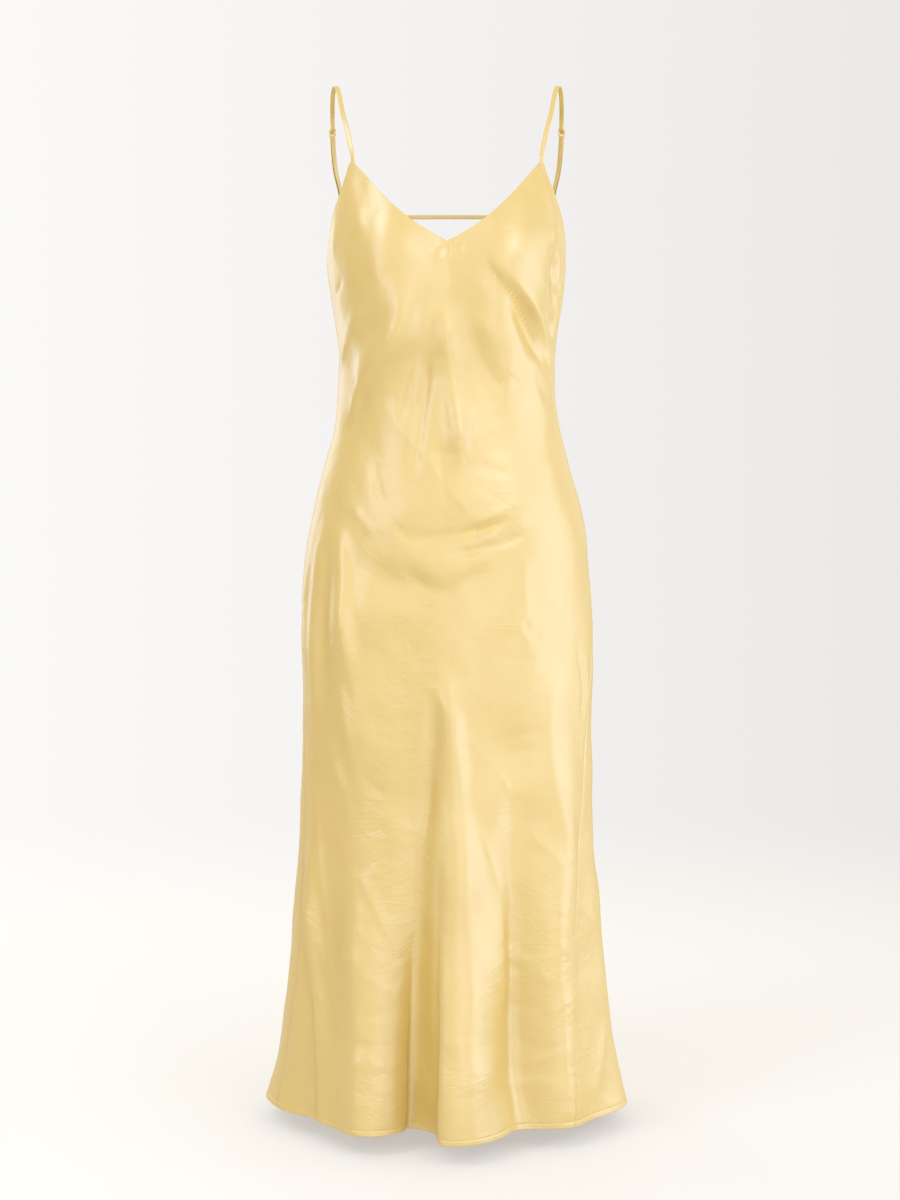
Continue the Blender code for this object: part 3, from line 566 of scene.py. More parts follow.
def fold_shift(turn, height):
    """How far the large folds move the cloth outward, and round the body."""
    outward = np.zeros(np.broadcast(turn, height).shape)
    sideways = np.zeros_like(outward)
    for row in FOLDS:
        fold = Fold(*row)
        run = DEGREE * (fold.turn_end - fold.turn_start)
        drop = fold.height_end - fold.height_start
        length = math.hypot(run, drop)
        across = metres_round(fold.turn_start, turn)
        down = height - fold.height_start
        way = np.clip((across * run + down * drop) / length ** 2, 0, 1)
        aside = (across * drop - down * run) / length
        if fold.kind == "flute":
            swell = smooth_step(way) * way ** FLUTE_GROWTH
        else:
            swell = np.sin(np.pi * way) ** 2
        shape = swell * np.exp(-(aside / fold.half_width) ** 2)
        outward += fold.depth * shape
        sideways += fold.lean * shape
    return outward, sideways


def crease_path(places):
    """Evenly sampled smooth line through a crease's places, flattened to metres."""
    turns, heights = np.transpose(places)
    flat = np.stack([DEGREE * (turns - turns[0]), heights * MM], axis=-1)
    steps = distances(flat)
    count = max(3, int(steps[-1] / CREASE_STEP))
    return curve(steps, flat)(np.linspace(0, steps[-1], count + 1))


def crease_shift(crease, turn, height, phase):
    """How far one crease moves the cloth outward."""
    path = crease_path(crease.places)
    flat = np.stack([metres_round(crease.places[0][0], turn), height], axis=-1)
    left, right = crease.left * MM, crease.right * MM
    reach = CREASE_REACH[crease.shape] * max(left, right)
    low, high = path.min(axis=0) - reach, path.max(axis=0) + reach
    near = np.all((flat > low) & (flat < high), axis=-1)
    spot = flat[near]
    best = np.full(len(spot), np.inf)
    aside = np.zeros(len(spot))
    way = np.zeros(len(spot))
    segments = len(path) - 1
    for k in range(segments):
        run = path[k + 1] - path[k]
        off = spot - path[k]
        share = np.clip(off @ run / run.dot(run), 0, 1)
        gap = off - share[:, None] * run
        distance = np.hypot(gap[:, 0], gap[:, 1])
        side = np.sign(run[0] * off[:, 1] - run[1] * off[:, 0])
        closer = distance < best
        best = np.where(closer, distance, best)
        aside = np.where(closer, side * distance, aside)
        way = np.where(closer, (k + share) / segments, way)
    width = np.where(aside > 0, left, right)
    if crease.shape == "soft":
        shape = np.exp(-(aside / width) ** 2)
    else:
        shape = np.exp(-(np.sqrt(aside ** 2 + CREST ** 2) - CREST) / width)
    fade = smooth_step(way / CREASE_FADE) * smooth_step((1 - way) / CREASE_FADE)
    wander = 1 + UNEVEN * np.sin(2 * np.pi * (WANDERS * way + phase))
    shift = np.zeros(turn.shape)
    shift[near] = CREASE_GAIN * crease.depth * MM * shape * fade * wander
    return shift


def summed_waves(points, random, count, lengths, phases):
    """Sum of waves with random directions, lengths and phases up to a last one."""
    total = np.zeros(points.shape[:-1])
    for _ in range(count):
        direction = unit(random.normal(size=3))
        length = random.uniform(*lengths)
        phase = random.uniform(0, phases)
        total += np.sin(points @ direction * 2 * np.pi / length + phase)
    return total


def ripple_shift(points):
    """Small waves over the whole cloth, the same from every side."""
    random = np.random.default_rng(4)
    shift = 0
    for wavelength, height, count in RIPPLES:
        lengths = [wavelength * share for share in RIPPLE_RANGE]
        waves = summed_waves(points, random, count, lengths, 2 * np.pi)
        shift = shift + waves * height / math.sqrt(count / 2)
    return shift


def plain_normal(turn, height):
    """Level outward direction of the plain form."""
    along = body_form(turn + PLAIN_STEP, height) - body_form(turn - PLAIN_STEP, height)
    return unit(np.cross(along, UP))


def cloth(turn, height):
    """Points of the outer face of the cloth with its large folds, as the frame has it."""
    turn, height = np.asarray(turn, float), np.asarray(height, float)
    outward, sideways = fold_shift(turn, height)
    normal = plain_normal(turn, height)
    tangent = np.cross(UP, normal)
    return body_form(turn, height) + normal * outward[..., None] + tangent * sideways[..., None]


def cloth_normal(turn, height):
    """Outward direction of the folded cloth."""
    turn, height = np.asarray(turn, float), np.asarray(height, float)
    turn_step, height_step = CLOTH_STEPS
    round_body = cloth(turn + turn_step, height) - cloth(turn - turn_step, height)
    upward = cloth(turn, height + height_step) - cloth(turn, height - height_step)
    return unit(np.cross(round_body, upward))


# ---------------------------------------------------------------- meshes

def grid_faces(rows, count, closed=False, flip=False, corner=0):
    """Faces over rows of count points.  Closed rows make a tube with capped ends.

    corner tells which corner of a face comes first, and so how it is split in triangles.
    """
    i, j = np.meshgrid(np.arange(rows - 1), np.arange(count - (not closed)), indexing="ij")
    a, b = (i * count + j).ravel(), (i * count + (j + 1) % count).ravel()
    faces = np.roll(np.stack([a, a + count, b + count, b], axis=-1), corner, axis=1).tolist()
    if closed:
        ring = list(range(count))
        faces += [ring, [rows * count - 1 - k for k in ring]]
    return [face[::-1] for face in faces] if flip else faces


def new_mesh(name, points, faces):
    mesh = bpy.data.meshes.new(name)
    mesh.from_pydata(points.reshape(-1, 3).tolist(), [], faces)
    mesh.shade_smooth()
    return mesh


def set_cut(mesh, across, down):
    """The mesh's UV map: metres across and down the cloth, as it was cut."""
    flat = np.stack(np.broadcast_arrays(across, down), axis=-1).reshape(-1, 2)
    layer = mesh.uv_layers.new(name="cut")
    corners = np.empty(len(mesh.loops), dtype=np.int32)
    mesh.loops.foreach_get("vertex_index", corners)
    layer.uv.foreach_set("vector", flat[corners].astype(np.float32).ravel())


def new_object(name, shape, material):
    shape.materials.append(material)
    item = bpy.data.objects.new(name, shape)
    bpy.context.scene.collection.objects.link(item)
    return item


# ---------------------------------------------------------------- the panels

Panel = namedtuple("Panel", "name centre armhole seam_start seam_end middle flat flat_area")


def far_seam(height):
    return SEAM.at_minus_x(height) + 360


PANELS = (
    Panel("front", NECKLINE, FRONT_ARMHOLE, SEAM.at_minus_x, SEAM.at_plus_x, 0.0,
          (0.62, 1.12), 0.45),
    Panel("back", SCOOP, BACK_ARMHOLE, SEAM.at_plus_x, far_seam, 180.0,
          (0.87, 1.08), 0.55),
)


def along_rows(rows, count):
    """Count evenly spread points on a smooth curve through rows."""
    steps = np.arange(len(rows))
    return curve(steps, rows)(np.linspace(0, 1, count) * steps[-1])


def spaced(length, count, steps):
    """Distances from 0 to length: the steps at first, in mm, and then even ones."""
    first = np.array(steps) * MM
    rest = np.linspace(first[-1], length, count + 1)[1:]
    return np.concatenate([[0.0], first, rest])


def top_edge(centre_rows, armhole_rows):
    """Places along a panel's whole top edge, from one underarm to the other."""
    centre = along_rows(centre_rows, CENTRE_COLUMNS + 1)
    fine = along_rows(armhole_rows, ARMHOLE_SAMPLES)
    steps = distances(fine * (DEGREE, 1.0))
    wanted = steps[-1] - spaced(steps[-1], ARMHOLE_COLUMNS, EDGE_STEPS)[::-1]
    armhole = straight_between(wanted, steps, fine)
    across = np.linspace(0, 1, TIP_COLUMNS + 1)[1:-1, None]
    tip = centre[-1] * (1 - across) + armhole[0] * across
    half = np.concatenate([centre, tip, armhole])
    return np.concatenate([half[:0:-1] * (-1.0, 1.0), half])


def panel_places(panel):
    """Turns and heights of a panel's grid, and how far each place is from its seams."""
    def seams(at):
        gap = SEAM_GAP / 3 / DEGREE
        return panel.seam_start(at) + gap, panel.seam_end(at) - gap

    top_turn, top_height = top_edge(panel.centre, panel.armhole).T
    count = len(top_turn)
    low = np.array((0.0,) + HEM_STEPS) * MM
    high = np.array((0.0,) + EDGE_STEPS) * MM
    between = np.linspace(0, 1, PANEL_ROWS + 1)[1:-1, None] ** ROW_CROWDING
    start, end = top_height - high[-1], HEM_HEIGHT + low[-1]
    height = np.concatenate([
        top_height - high[:, None],
        start + (end - start) * between,
        np.repeat(HEM_HEIGHT + low[::-1, None], count, axis=1),
    ])
    share_down = (top_height - height) / (top_height - HEM_HEIGHT)
    first, last = seams(height)
    top_first, top_last = seams(top_height)
    at_top = np.clip((panel.middle + top_turn - top_first) / (top_last - top_first), 0, 1)
    near = high / (DEGREE * (last[-1, 0] - first[-1, 0]))
    even = np.linspace(near[-1], 1 - near[-1], count - 2 * len(near) + 2)[1:-1]
    at_hem = np.concatenate([near, even, 1 - near[::-1]])
    share = at_top + (at_hem - at_top) * smooth_step(share_down / FAN_SHARE)
    share[:, 0], share[:, -1] = 0, 1
    turn = first + (last - first) * share
    return turn, height, DEGREE * np.minimum(turn - first, last - turn)


def sewn_shift(turn, height, seam_off, points):
    """The dip into the side seams, the stitched hem, and the puckers beside them."""
    dip = -SEAM_DIP * np.exp(-(seam_off / SEAM_WIDE) ** 2)
    pressed_out = smooth_step((SEAM_FLAT_BELOW - height) / SEAM_FLAT_OVER)
    dip *= 1 - SEAM_FLAT_SHARE * pressed_out * (np.sin(np.radians(turn)) > 0)
    over = height - HEM_HEIGHT - HEM_TURN
    groove = -HEM_GROOVE * np.exp(-(over / HEM_GROOVE_WIDE) ** 2)
    band = HEM_BAND * smooth_step(-over / HEM_BAND_OVER)
    random = np.random.default_rng(9)
    pucker = PUCKER * summed_waves(points, random, PUCKER_WAVES, PUCKER_LENGTHS, PUCKER_PHASES)
    near_sewing = np.exp(-seam_off / PUCKER_BY_SEAM) + np.exp(-np.abs(over) / PUCKER_BY_HEM)
    return dip + groove + band + pucker * near_sewing


def turned_edge(points, normal, order, roll, flap_rows):
    """Rows that roll a panel's edge under and lie a little way back inside it.

    order is 1 for the top edge and -1 for the hem, counted from the edge inwards.
    """
    rows, normals = points[::order], normal[::order]
    past = unit(np.cross(np.gradient(rows[0], axis=0), normals[0]))
    past *= np.sign(np.sum(past * (rows[0] - rows[2]), axis=-1, keepdims=True))
    made = [rows[0] + roll * (past * math.sin(angle) - normals[0] * (1 - math.cos(angle)))
            for angle in np.radians(EDGE_ANGLES)]
    made += [rows[k] - normals[k] * 2 * roll for k in range(1, flap_rows + 1)]
    return np.array(made[::-order])


def cloth_piece(name, grid, material, flip=False):
    """Open sheet over a grid of points; rows run down and columns round the body."""
    rows, count = grid.shape[:2]
    mesh = new_mesh(name, grid, grid_faces(rows, count, flip=flip))
    across, down = distances(grid, 1), distances(grid, 0)
    set_cut(mesh, across - across[:, count // 2, None], down[-1] - down)
    return new_object(name, mesh, material)


def build_panel(panel, satin, satin_back):
    """The satin face of a panel, its duller inside and its hem's lines of stitches."""
    turn, height, seam_off = panel_places(panel)
    form = cloth(turn, height)
    shift = ripple_shift(form) + sewn_shift(turn, height, seam_off, form)
    for index, crease in enumerate(CREASES):
        shift += crease_shift(crease, turn, height, index * WANDER_LAG)
    outer = form + cloth_normal(turn, height) * shift[..., None]
    normal = unit(np.cross(np.gradient(outer, axis=0), np.gradient(outer, axis=1)))
    top = turned_edge(outer, normal, 1, EDGE_ROLL, len(EDGE_STEPS))
    hem = turned_edge(outer, normal, -1, HEM_ROLL, HEM_FLAP_ROWS)
    full = np.concatenate([top, outer, hem])
    away = np.pad(normal[:, [0, -1]], ((len(top), len(hem)), (0, 0), (0, 0)), mode="edge")
    rims = full[:, [0, -1]] - away * SEAM_IN
    full = np.concatenate([rims[:, :1], full, rims[:, 1:]], axis=1)
    face = cloth_piece(f"{panel.name}_satin", full, satin)
    back = (outer - normal * INSIDE_OFF)[INSIDE_ROWS]
    kept = [np.unique(np.r_[0:size:INSIDE_EVERY, size - 1]) for size in back.shape[:2]]
    inside = cloth_piece(f"{panel.name}_inside", back[np.ix_(*kept)], satin_back, flip=True)
    row = -2 - HEM_STEPS.index(HEM_TURN / MM)
    line, away = outer[row], normal[row]
    below = line - away * (INSIDE_OFF + 2 * HEM_ROLL)
    return face, inside, [(line, away), (below, -away)]


# ---------------------------------------------------------------- straps and fittings

def flattened(wave):
    """A circle's sine or cosine pressed towards a rectangle's."""
    pressed = np.sign(wave) * np.abs(wave) ** BAND_FLATNESS
    return pressed / pressed.max()


def band(name, path, across, width, thickness, material, side=1):
    """Flat stitched tube along a path; across gives its width's direction at each point."""
    tangent = unit(np.gradient(path, axis=0))
    across = unit(across - tangent * np.sum(across * tangent, axis=1, keepdims=True))
    outward = np.cross(tangent, across)
    angle = (np.arange(BAND_SIDES) + 0.5) * 2 * math.pi / BAND_SIDES
    wide, thick = flattened(np.cos(angle)), flattened(np.sin(angle))
    thick *= 1 + BAND_CORD * np.exp(-((np.abs(wide) - CORD_AT) / CORD_WIDE) ** 2)
    wide, thick = wide * width / 2, thick * thickness / 2
    along = distances(path)
    ends = np.clip(np.minimum(along, along[-1] - along) / BAND_END, 0, 1)
    close = np.sqrt(np.clip(1 - (1 - ends) ** 2, BAND_END_SIZE, 1))
    wander = 1 + sum(part * np.sin(along / size + phase) for part, size, phase in BAND_WANDERS)
    rings = (path[:, None] + across[:, None] * np.outer(wander * close, wide)[..., None]
             + outward[:, None] * np.outer(close, thick)[..., None])
    rings[..., 0] *= side
    faces = grid_faces(len(path), BAND_SIDES, closed=True, flip=side < 0, corner=-1)
    mesh = new_mesh(name, rings, faces)
    set_cut(mesh, distances(np.stack([wide, thick], axis=-1)), along[:, None])
    return new_object(name, mesh, material)


def refined(points, across, count):
    """A path and its width directions on smooth curves, at count even steps."""
    steps = distances(points)
    wanted = np.linspace(0, steps[-1], count + 1)
    return [curve(steps, rows)(wanted) for rows in (points, across)]


def corner_frame(turn, height):
    """Middle of the wall at a strap corner, and its across, outward and up directions."""
    def middle_at(at):
        return cloth(turn, at) - cloth_normal(turn, at) * WALL / 2

    middle, outward = middle_at(height), cloth_normal(turn, height)
    up = unit(middle - middle_at(height - CORNER_DROP))
    outward = unit(outward - up * outward.dot(up))
    return middle, unit(np.cross(up, outward)), outward, up


def tip_turn(centre_rows, armhole_rows):
    return (centre_rows[-1][0] + armhole_rows[0][0]) / 2


FRONT_TIP = corner_frame(tip_turn(NECKLINE, FRONT_ARMHOLE), FRONT_ARMHOLE[0][1])
BACK_TIP = corner_frame(180 - tip_turn(SCOOP, BACK_ARMHOLE), BACK_ARMHOLE[0][1])


class StrapLine:
    """Middle line of a shoulder strap, by distance from the top of the front tip."""

    def __init__(self):
        middle, across, _, up = FRONT_TIP
        corner, back_across, _, back_up = BACK_TIP
        start = middle + up * SEAM_GAP
        route = np.array(STRAP_ROUTE)
        points = np.concatenate([
            [start, start + up * STRAP_STEP],
            route[:, :3],
            [corner + back_up * rise for rise in STRAP_LANDING],
        ])
        facing = np.concatenate([
            [math.degrees(math.atan2(across[1], across[0]))] * 2,
            route[:, 3],
            [math.degrees(math.atan2(-back_across[1], -back_across[0]))] * len(STRAP_LANDING),
        ])
        steps = distances(points)
        self.length = steps[-1]
        self.point = curve(steps, points)
        self.facing = spline(steps, facing)

    def frame(self, along):
        """Across and outward directions of the strap."""
        step = 0.5 * MM
        tangent = unit(self.point(along + step) - self.point(along - step))
        turned = math.radians(float(self.facing(along)))
        across = np.array([math.cos(turned), math.sin(turned), 0.0])
        across = unit(across - tangent * across.dot(tangent))
        return across, np.cross(across, tangent)

    def at_height_behind(self, height):
        """Distance along the line of a height on its way down the back."""
        samples = 2000
        along = np.linspace(self.length / 2, self.length, samples)
        return along[np.argmin(np.abs(self.point(along)[:, 2] - height))]


LINE = StrapLine()
SLIDER_AT = LINE.at_height_behind(SLIDER_HEIGHT)
SLIDER_PITCH = SLIDER_WINDOW + BAR
RING_LOW_BAR = LINE.length - RING_RISE
RING_TOP_BAR = RING_LOW_BAR - RING_WINDOW - BAR


def weave(along):
    """Offset of the strap's long run where it passes the slider's three bars."""
    off = (along - SLIDER_AT) / SLIDER_PITCH
    settle = smooth_step((abs(off) - 1) / WEAVE_FADE)
    behind = -(PLATE_THICK + STRAP_THICK) / 2 - SEAM_GAP if off > 0 else 0.0
    woven = WEAVE * math.cos(math.pi * min(abs(off), 1))
    return woven * (1 - settle) + behind * settle


def strap_path():
    """Points and width directions of a whole strap, from front tip to its end."""
    turn_radius = BAR / 2 + SEAM_GAP + STRAP_THICK / 2
    weave_start = SLIDER_AT - 1.5 * SLIDER_PITCH
    weave_end = SLIDER_AT + 1.5 * SLIDER_PITCH
    end = SLIDER_AT + SLIDER_PITCH - BAR
    in_tip, to_slider, through, to_ring, round_ring, back_up = STRAP_RINGS
    points, across = [], []

    def place(along, out, down=0.0):
        sideways, outward = LINE.frame(along)
        points.append(LINE.point(along) - FRONT_TIP[3] * down + outward * out)
        across.append(sideways)

    for inside in np.linspace(STRAP_SEWN, 0, in_tip)[:-1]:
        place(0.0, -STRAP_BEHIND, inside)
    for along in np.linspace(0, weave_start, to_slider):
        place(along, weave(along) - STRAP_BEHIND * (1 - smooth_step(along / STRAP_SEWN)))
    for along in np.linspace(weave_start, weave_end, through)[1:]:
        place(along, weave(along))
    for along in np.linspace(weave_end, RING_TOP_BAR, to_ring)[1:]:
        share = smooth_step((along - weave_end) / (RING_TOP_BAR - weave_end))
        place(along, weave(along) * (1 - share) - turn_radius * share)
    for angle in np.linspace(0, math.pi, round_ring)[1:]:
        place(RING_TOP_BAR + turn_radius * math.sin(angle), -turn_radius * math.cos(angle))
    for along in np.linspace(RING_TOP_BAR, end, back_up)[1:]:
        place(along, turn_radius)
    return np.array(points), np.array(across)


def rounded_rectangle(shape, width, height, corner, centre=0.0):
    """Closed outline of a rounded rectangle, added to a flat curve."""
    outline = []
    for quarter, (sign_x, sign_y) in enumerate(((1, 1), (-1, 1), (-1, -1), (1, -1))):
        for step in range(CORNER_STEPS + 1):
            angle = math.pi / 2 * (quarter + step / CORNER_STEPS)
            x = sign_x * (width / 2 - corner) + corner * math.cos(angle)
            y = sign_y * (height / 2 - corner) + corner * math.sin(angle)
            outline.append((x, y + centre))
    line = shape.splines.new("POLY")
    line.points.add(len(outline) - 1)
    for point, (x, y) in zip(line.points, outline):
        point.co = (x, y, 0, 1)
    line.use_cyclic_u = True


def plate(name, side, along, windows, window_length, material):
    """Flat plate with windows and rounded edges, centred on the strap's line."""
    shape = bpy.data.curves.new(name, "CURVE")
    shape.dimensions = "2D"
    shape.fill_mode = "BOTH"
    shape.extrude = PLATE_THICK / 2 - PLATE_ROUND
    shape.bevel_depth = PLATE_ROUND
    shape.bevel_resolution = 3
    shape.offset = -PLATE_ROUND
    pitch = window_length + BAR
    rounded_rectangle(shape, PLATE_WIDTH, windows * pitch + BAR, PLATE_CORNER)
    for index in range(windows):
        centre = (index - (windows - 1) / 2) * pitch
        inner_corner = PLATE_CORNER - BAR / 2
        rounded_rectangle(shape, PLATE_WIDTH - 2 * BAR, window_length, inner_corner, centre)
    across, outward = LINE.frame(along)
    flip = np.array([side, 1, 1])
    axes = np.array([across, np.cross(outward, across), outward * side, LINE.point(along)])
    item = new_object(name, shape, material)
    item.matrix_world = Matrix([*(axes * flip).T.tolist(), [0, 0, 0, 1]])
    return item


def loop_path():
    """Folded loop: up the outside of the corner, over the ring's lower bar, down inside."""
    middle, across, outward, up = BACK_TIP
    reach = WALL / 2 + SEAM_GAP + LOOP_THICK / 2
    in_leg, in_fold = LOOP_POINTS
    leg = np.linspace(-LOOP_LEG, 0, in_leg)
    fold = np.linspace(0, math.pi, in_fold)
    rise = np.concatenate([leg, RING_RISE + reach * np.sin(fold), leg[::-1]])
    out = np.concatenate([np.ones(in_leg), np.cos(fold), -np.ones(in_leg)]) * reach
    return middle + np.outer(rise, up) + np.outer(out, outward), np.tile(across, (len(rise), 1))


def back_strap_path():
    """Line straight across the open back, into the two corners."""
    corner_turn = 180 - SCOOP[-2][0]
    end_turn = corner_turn - math.degrees(BACK_STRAP_SEWN / np.hypot(*BACK_TIP[0][:2]))
    turns = np.linspace(end_turn, 360 - end_turn, BACK_STRAP_STEPS + 1)
    swing = np.cos(np.radians(180 - turns) * 90 / (180 - end_turn))
    height = BACK_STRAP_HEIGHT + BACK_STRAP_RISE * swing
    path = cloth(turns, height) - cloth_normal(turns, height) * WALL / 2
    return path, np.tile([0.0, 0.0, 1.0], (len(path), 1))


def stitches(name, runs, material):
    """Short lengths of thread that dip into the cloth at both ends, along each run.

    A run is a line of points on the cloth and the directions away from it.
    """
    share, lift, size = np.transpose(STITCH)
    angle = np.arange(THREAD_SIDES)[:, None] * 2 * math.pi / THREAD_SIDES
    tubes = []
    for line, away in runs:
        steps = distances(line)
        count = max(1, int(steps[-1] / STITCH_PITCH))
        starts = (np.arange(count) + 0.5) * steps[-1] / count - STITCH_LENGTH / 2
        at = np.clip(starts[:, None] + share * STITCH_LENGTH, 0, steps[-1])
        point = straight_between(at, steps, line)
        out = unit(straight_between(at, steps, away))
        aside = np.cross(unit(np.gradient(point, axis=1)), out)
        point = point + out * lift[:, None] * THREAD
        ring = aside[:, :, None] * np.cos(angle) + out[:, :, None] * np.sin(angle)
        tubes.append(point[:, :, None] + size[:, None, None] * THREAD / 2 * ring)
    tubes = np.concatenate(tubes)
    faces = grid_faces(len(share), THREAD_SIDES, closed=True)
    each = len(share) * THREAD_SIDES
    every = [[corner + k * each for corner in face] for k in range(len(tubes)) for face in faces]
    return new_object(name, new_mesh(name, tubes, every), material)


def edge_bars(middle, across, outward, up, width, off, below):
    """Lines of stitching across a strap's end, square to it."""
    spread = np.linspace(-BAR_HALF, BAR_HALF, BAR_POINTS)[:, None] * width
    return [(middle - up * drop + outward * off + across * spread,
             np.tile(outward, (BAR_POINTS, 1))) for drop in below]


def add_straps(satin, metal, thread):
    """Shoulder straps, their sliders, rings and loops, and the strap across the back."""
    path = strap_path()
    loop = refined(*loop_path(), LOOP_RINGS)
    loop_off = WALL / 2 + SEAM_GAP + LOOP_THICK
    strap_off = ROULEAU_THICK / 2 + STRAP_BEHIND
    bands = (
        ("rouleau", "strap", path, STRAP_WIDTH, ROULEAU_THICK),
        ("ring_loop", "loop", loop, LOOP_WIDTH, LOOP_THICK),
    )
    fittings = (
        ("slider", SLIDER_AT, SLIDER_WINDOWS, SLIDER_WINDOW),
        ("ring", (RING_LOW_BAR + RING_TOP_BAR) / 2, 1, RING_WINDOW),
    )
    runs = []
    for label, side in (("left", 1), ("right", -1)):
        for kind, replaced, route, width, thickness in bands:
            item = band(f"{label}_{kind}", *route, width, thickness, satin, side)
            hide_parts(f"{replaced}_{label}")
            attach(item, "root")
        for kind, along, windows, length in fittings:
            item = plate(f"{label}_{kind}_plate", side, along, windows, length, metal)
            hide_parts(f"{kind}_{label}")
            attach(item, "root")
        middle, across, outward, up = np.array(BACK_TIP) * (side, 1, 1)
        for face in (outward, -outward):
            runs += edge_bars(middle, across, face, up, LOOP_WIDTH, loop_off, LOOP_STITCHES)
        middle, across, outward, up = np.array(FRONT_TIP) * (side, 1, 1)
        runs += edge_bars(middle, across, -outward, up, STRAP_WIDTH, strap_off, STRAP_STITCHES)
    strap = band("back_rouleau", *back_strap_path(), BACK_STRAP_WIDTH, BACK_STRAP_THICK, satin)
    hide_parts("back_strap")
    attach(strap, "root")
    tacks = stitches("strap_stitches", runs, thread)
    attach(tacks, "root")


# ---------------------------------------------------------------- materials

def fill(tree, made, *inputs, **settings):
    """Gives a shader node its inputs, in order or by name, and its own settings.

    A node or an output that is given for an input is linked to it.
    """
    for key, value in [*settings.items(), *enumerate(inputs)]:
        name = key.replace("_", " ") if isinstance(key, str) else key
        if isinstance(value, bpy.types.Node):
            value = value.outputs[0]
        if isinstance(name, str) and name not in made.inputs:
            setattr(made, key, value)
        elif isinstance(value, bpy.types.NodeSocket):
            tree.links.new(value, made.inputs[name])
        else:
            made.inputs[name].default_value = value
    return made


def node(tree, kind, *inputs, **settings):
    return fill(tree, tree.nodes.new("ShaderNode" + kind), *inputs, **settings)


def ranged(tree, value, start, end, first=0.0, last=1.0, kind="SMOOTHSTEP"):
    """A value's way from start to end, as a number from first to last."""
    return node(tree, "MapRange", value, start, end, first, last, interpolation_type=kind)


def toned(tree, value, low, high, ends=(0.3, 0.7)):
    """Colour that goes from low to high as a value goes between two ends."""
    made = node(tree, "ValToRGB", value)
    for element, end, colour in zip(made.color_ramp.elements, ends, (low, high)):
        element.position, element.color = end, (*colour, 1)
    return made


def new_material(name):
    material = bpy.data.materials.new(name)
    material.use_nodes = True
    tree = material.node_tree
    return material, tree, tree.nodes["Principled BSDF"]


# Creases in the satin too small and too many to place: how far their noise is drawn out
# along and across them, the turn of their run in degrees, and their depth
Crumple = namedtuple("Crumple", "along across turned depth pressed")
CRUMPLES = (
    Crumple(0.090, 0.030, 12, 0.0012, False),
    Crumple(0.070, 0.024, -20, 0.0010, False),
    Crumple(0.045, 0.014, 34, 0.0005, False),
    Crumple(0.110, 0.012, -80, 0.0003, False),
    Crumple(0.090, 0.022, 14, 0.00012, True),
    Crumple(0.080, 0.020, -28, 0.00010, True),
)
PRESSED_WIDTH = 0.05       # share of the noise's range that a pressed line covers
CREASED_TO = (0.35, 0.95)  # height above the hem over which the small creases fade
CREASED_ABOVE = 0.35       # their share at the top
PATCHES = 9.0              # patches of them in a metre
PATCH_EDGE = (0.40, 0.62)
SHEEN_TINT = (1.0, 0.93, 0.75, 1.0)
SHEEN_ROUGHNESS = 0.35
THREADS = (0.3 * MM, 2.8 * MM, 1.0)     # streaks on the bias: across, along, and their detail
SLUBS = (2.2 * MM, 30 * MM, 2.0)
CLOUDS = (50 * MM, 90 * MM, 2.0)
SLUB_SHARE = 0.35          # of the satin's tone; the clouds have the rest
SLUB_BUMP = (0.35, 0.12 * MM)
THREAD_BUMP = (0.25, 0.03 * MM)
TONES = ((0.975, 0.965, 0.93), (1.015, 1.02, 1.05))   # the satin's darker and lighter shares
SPREAD = 0.05              # of the satin's roughness, either way


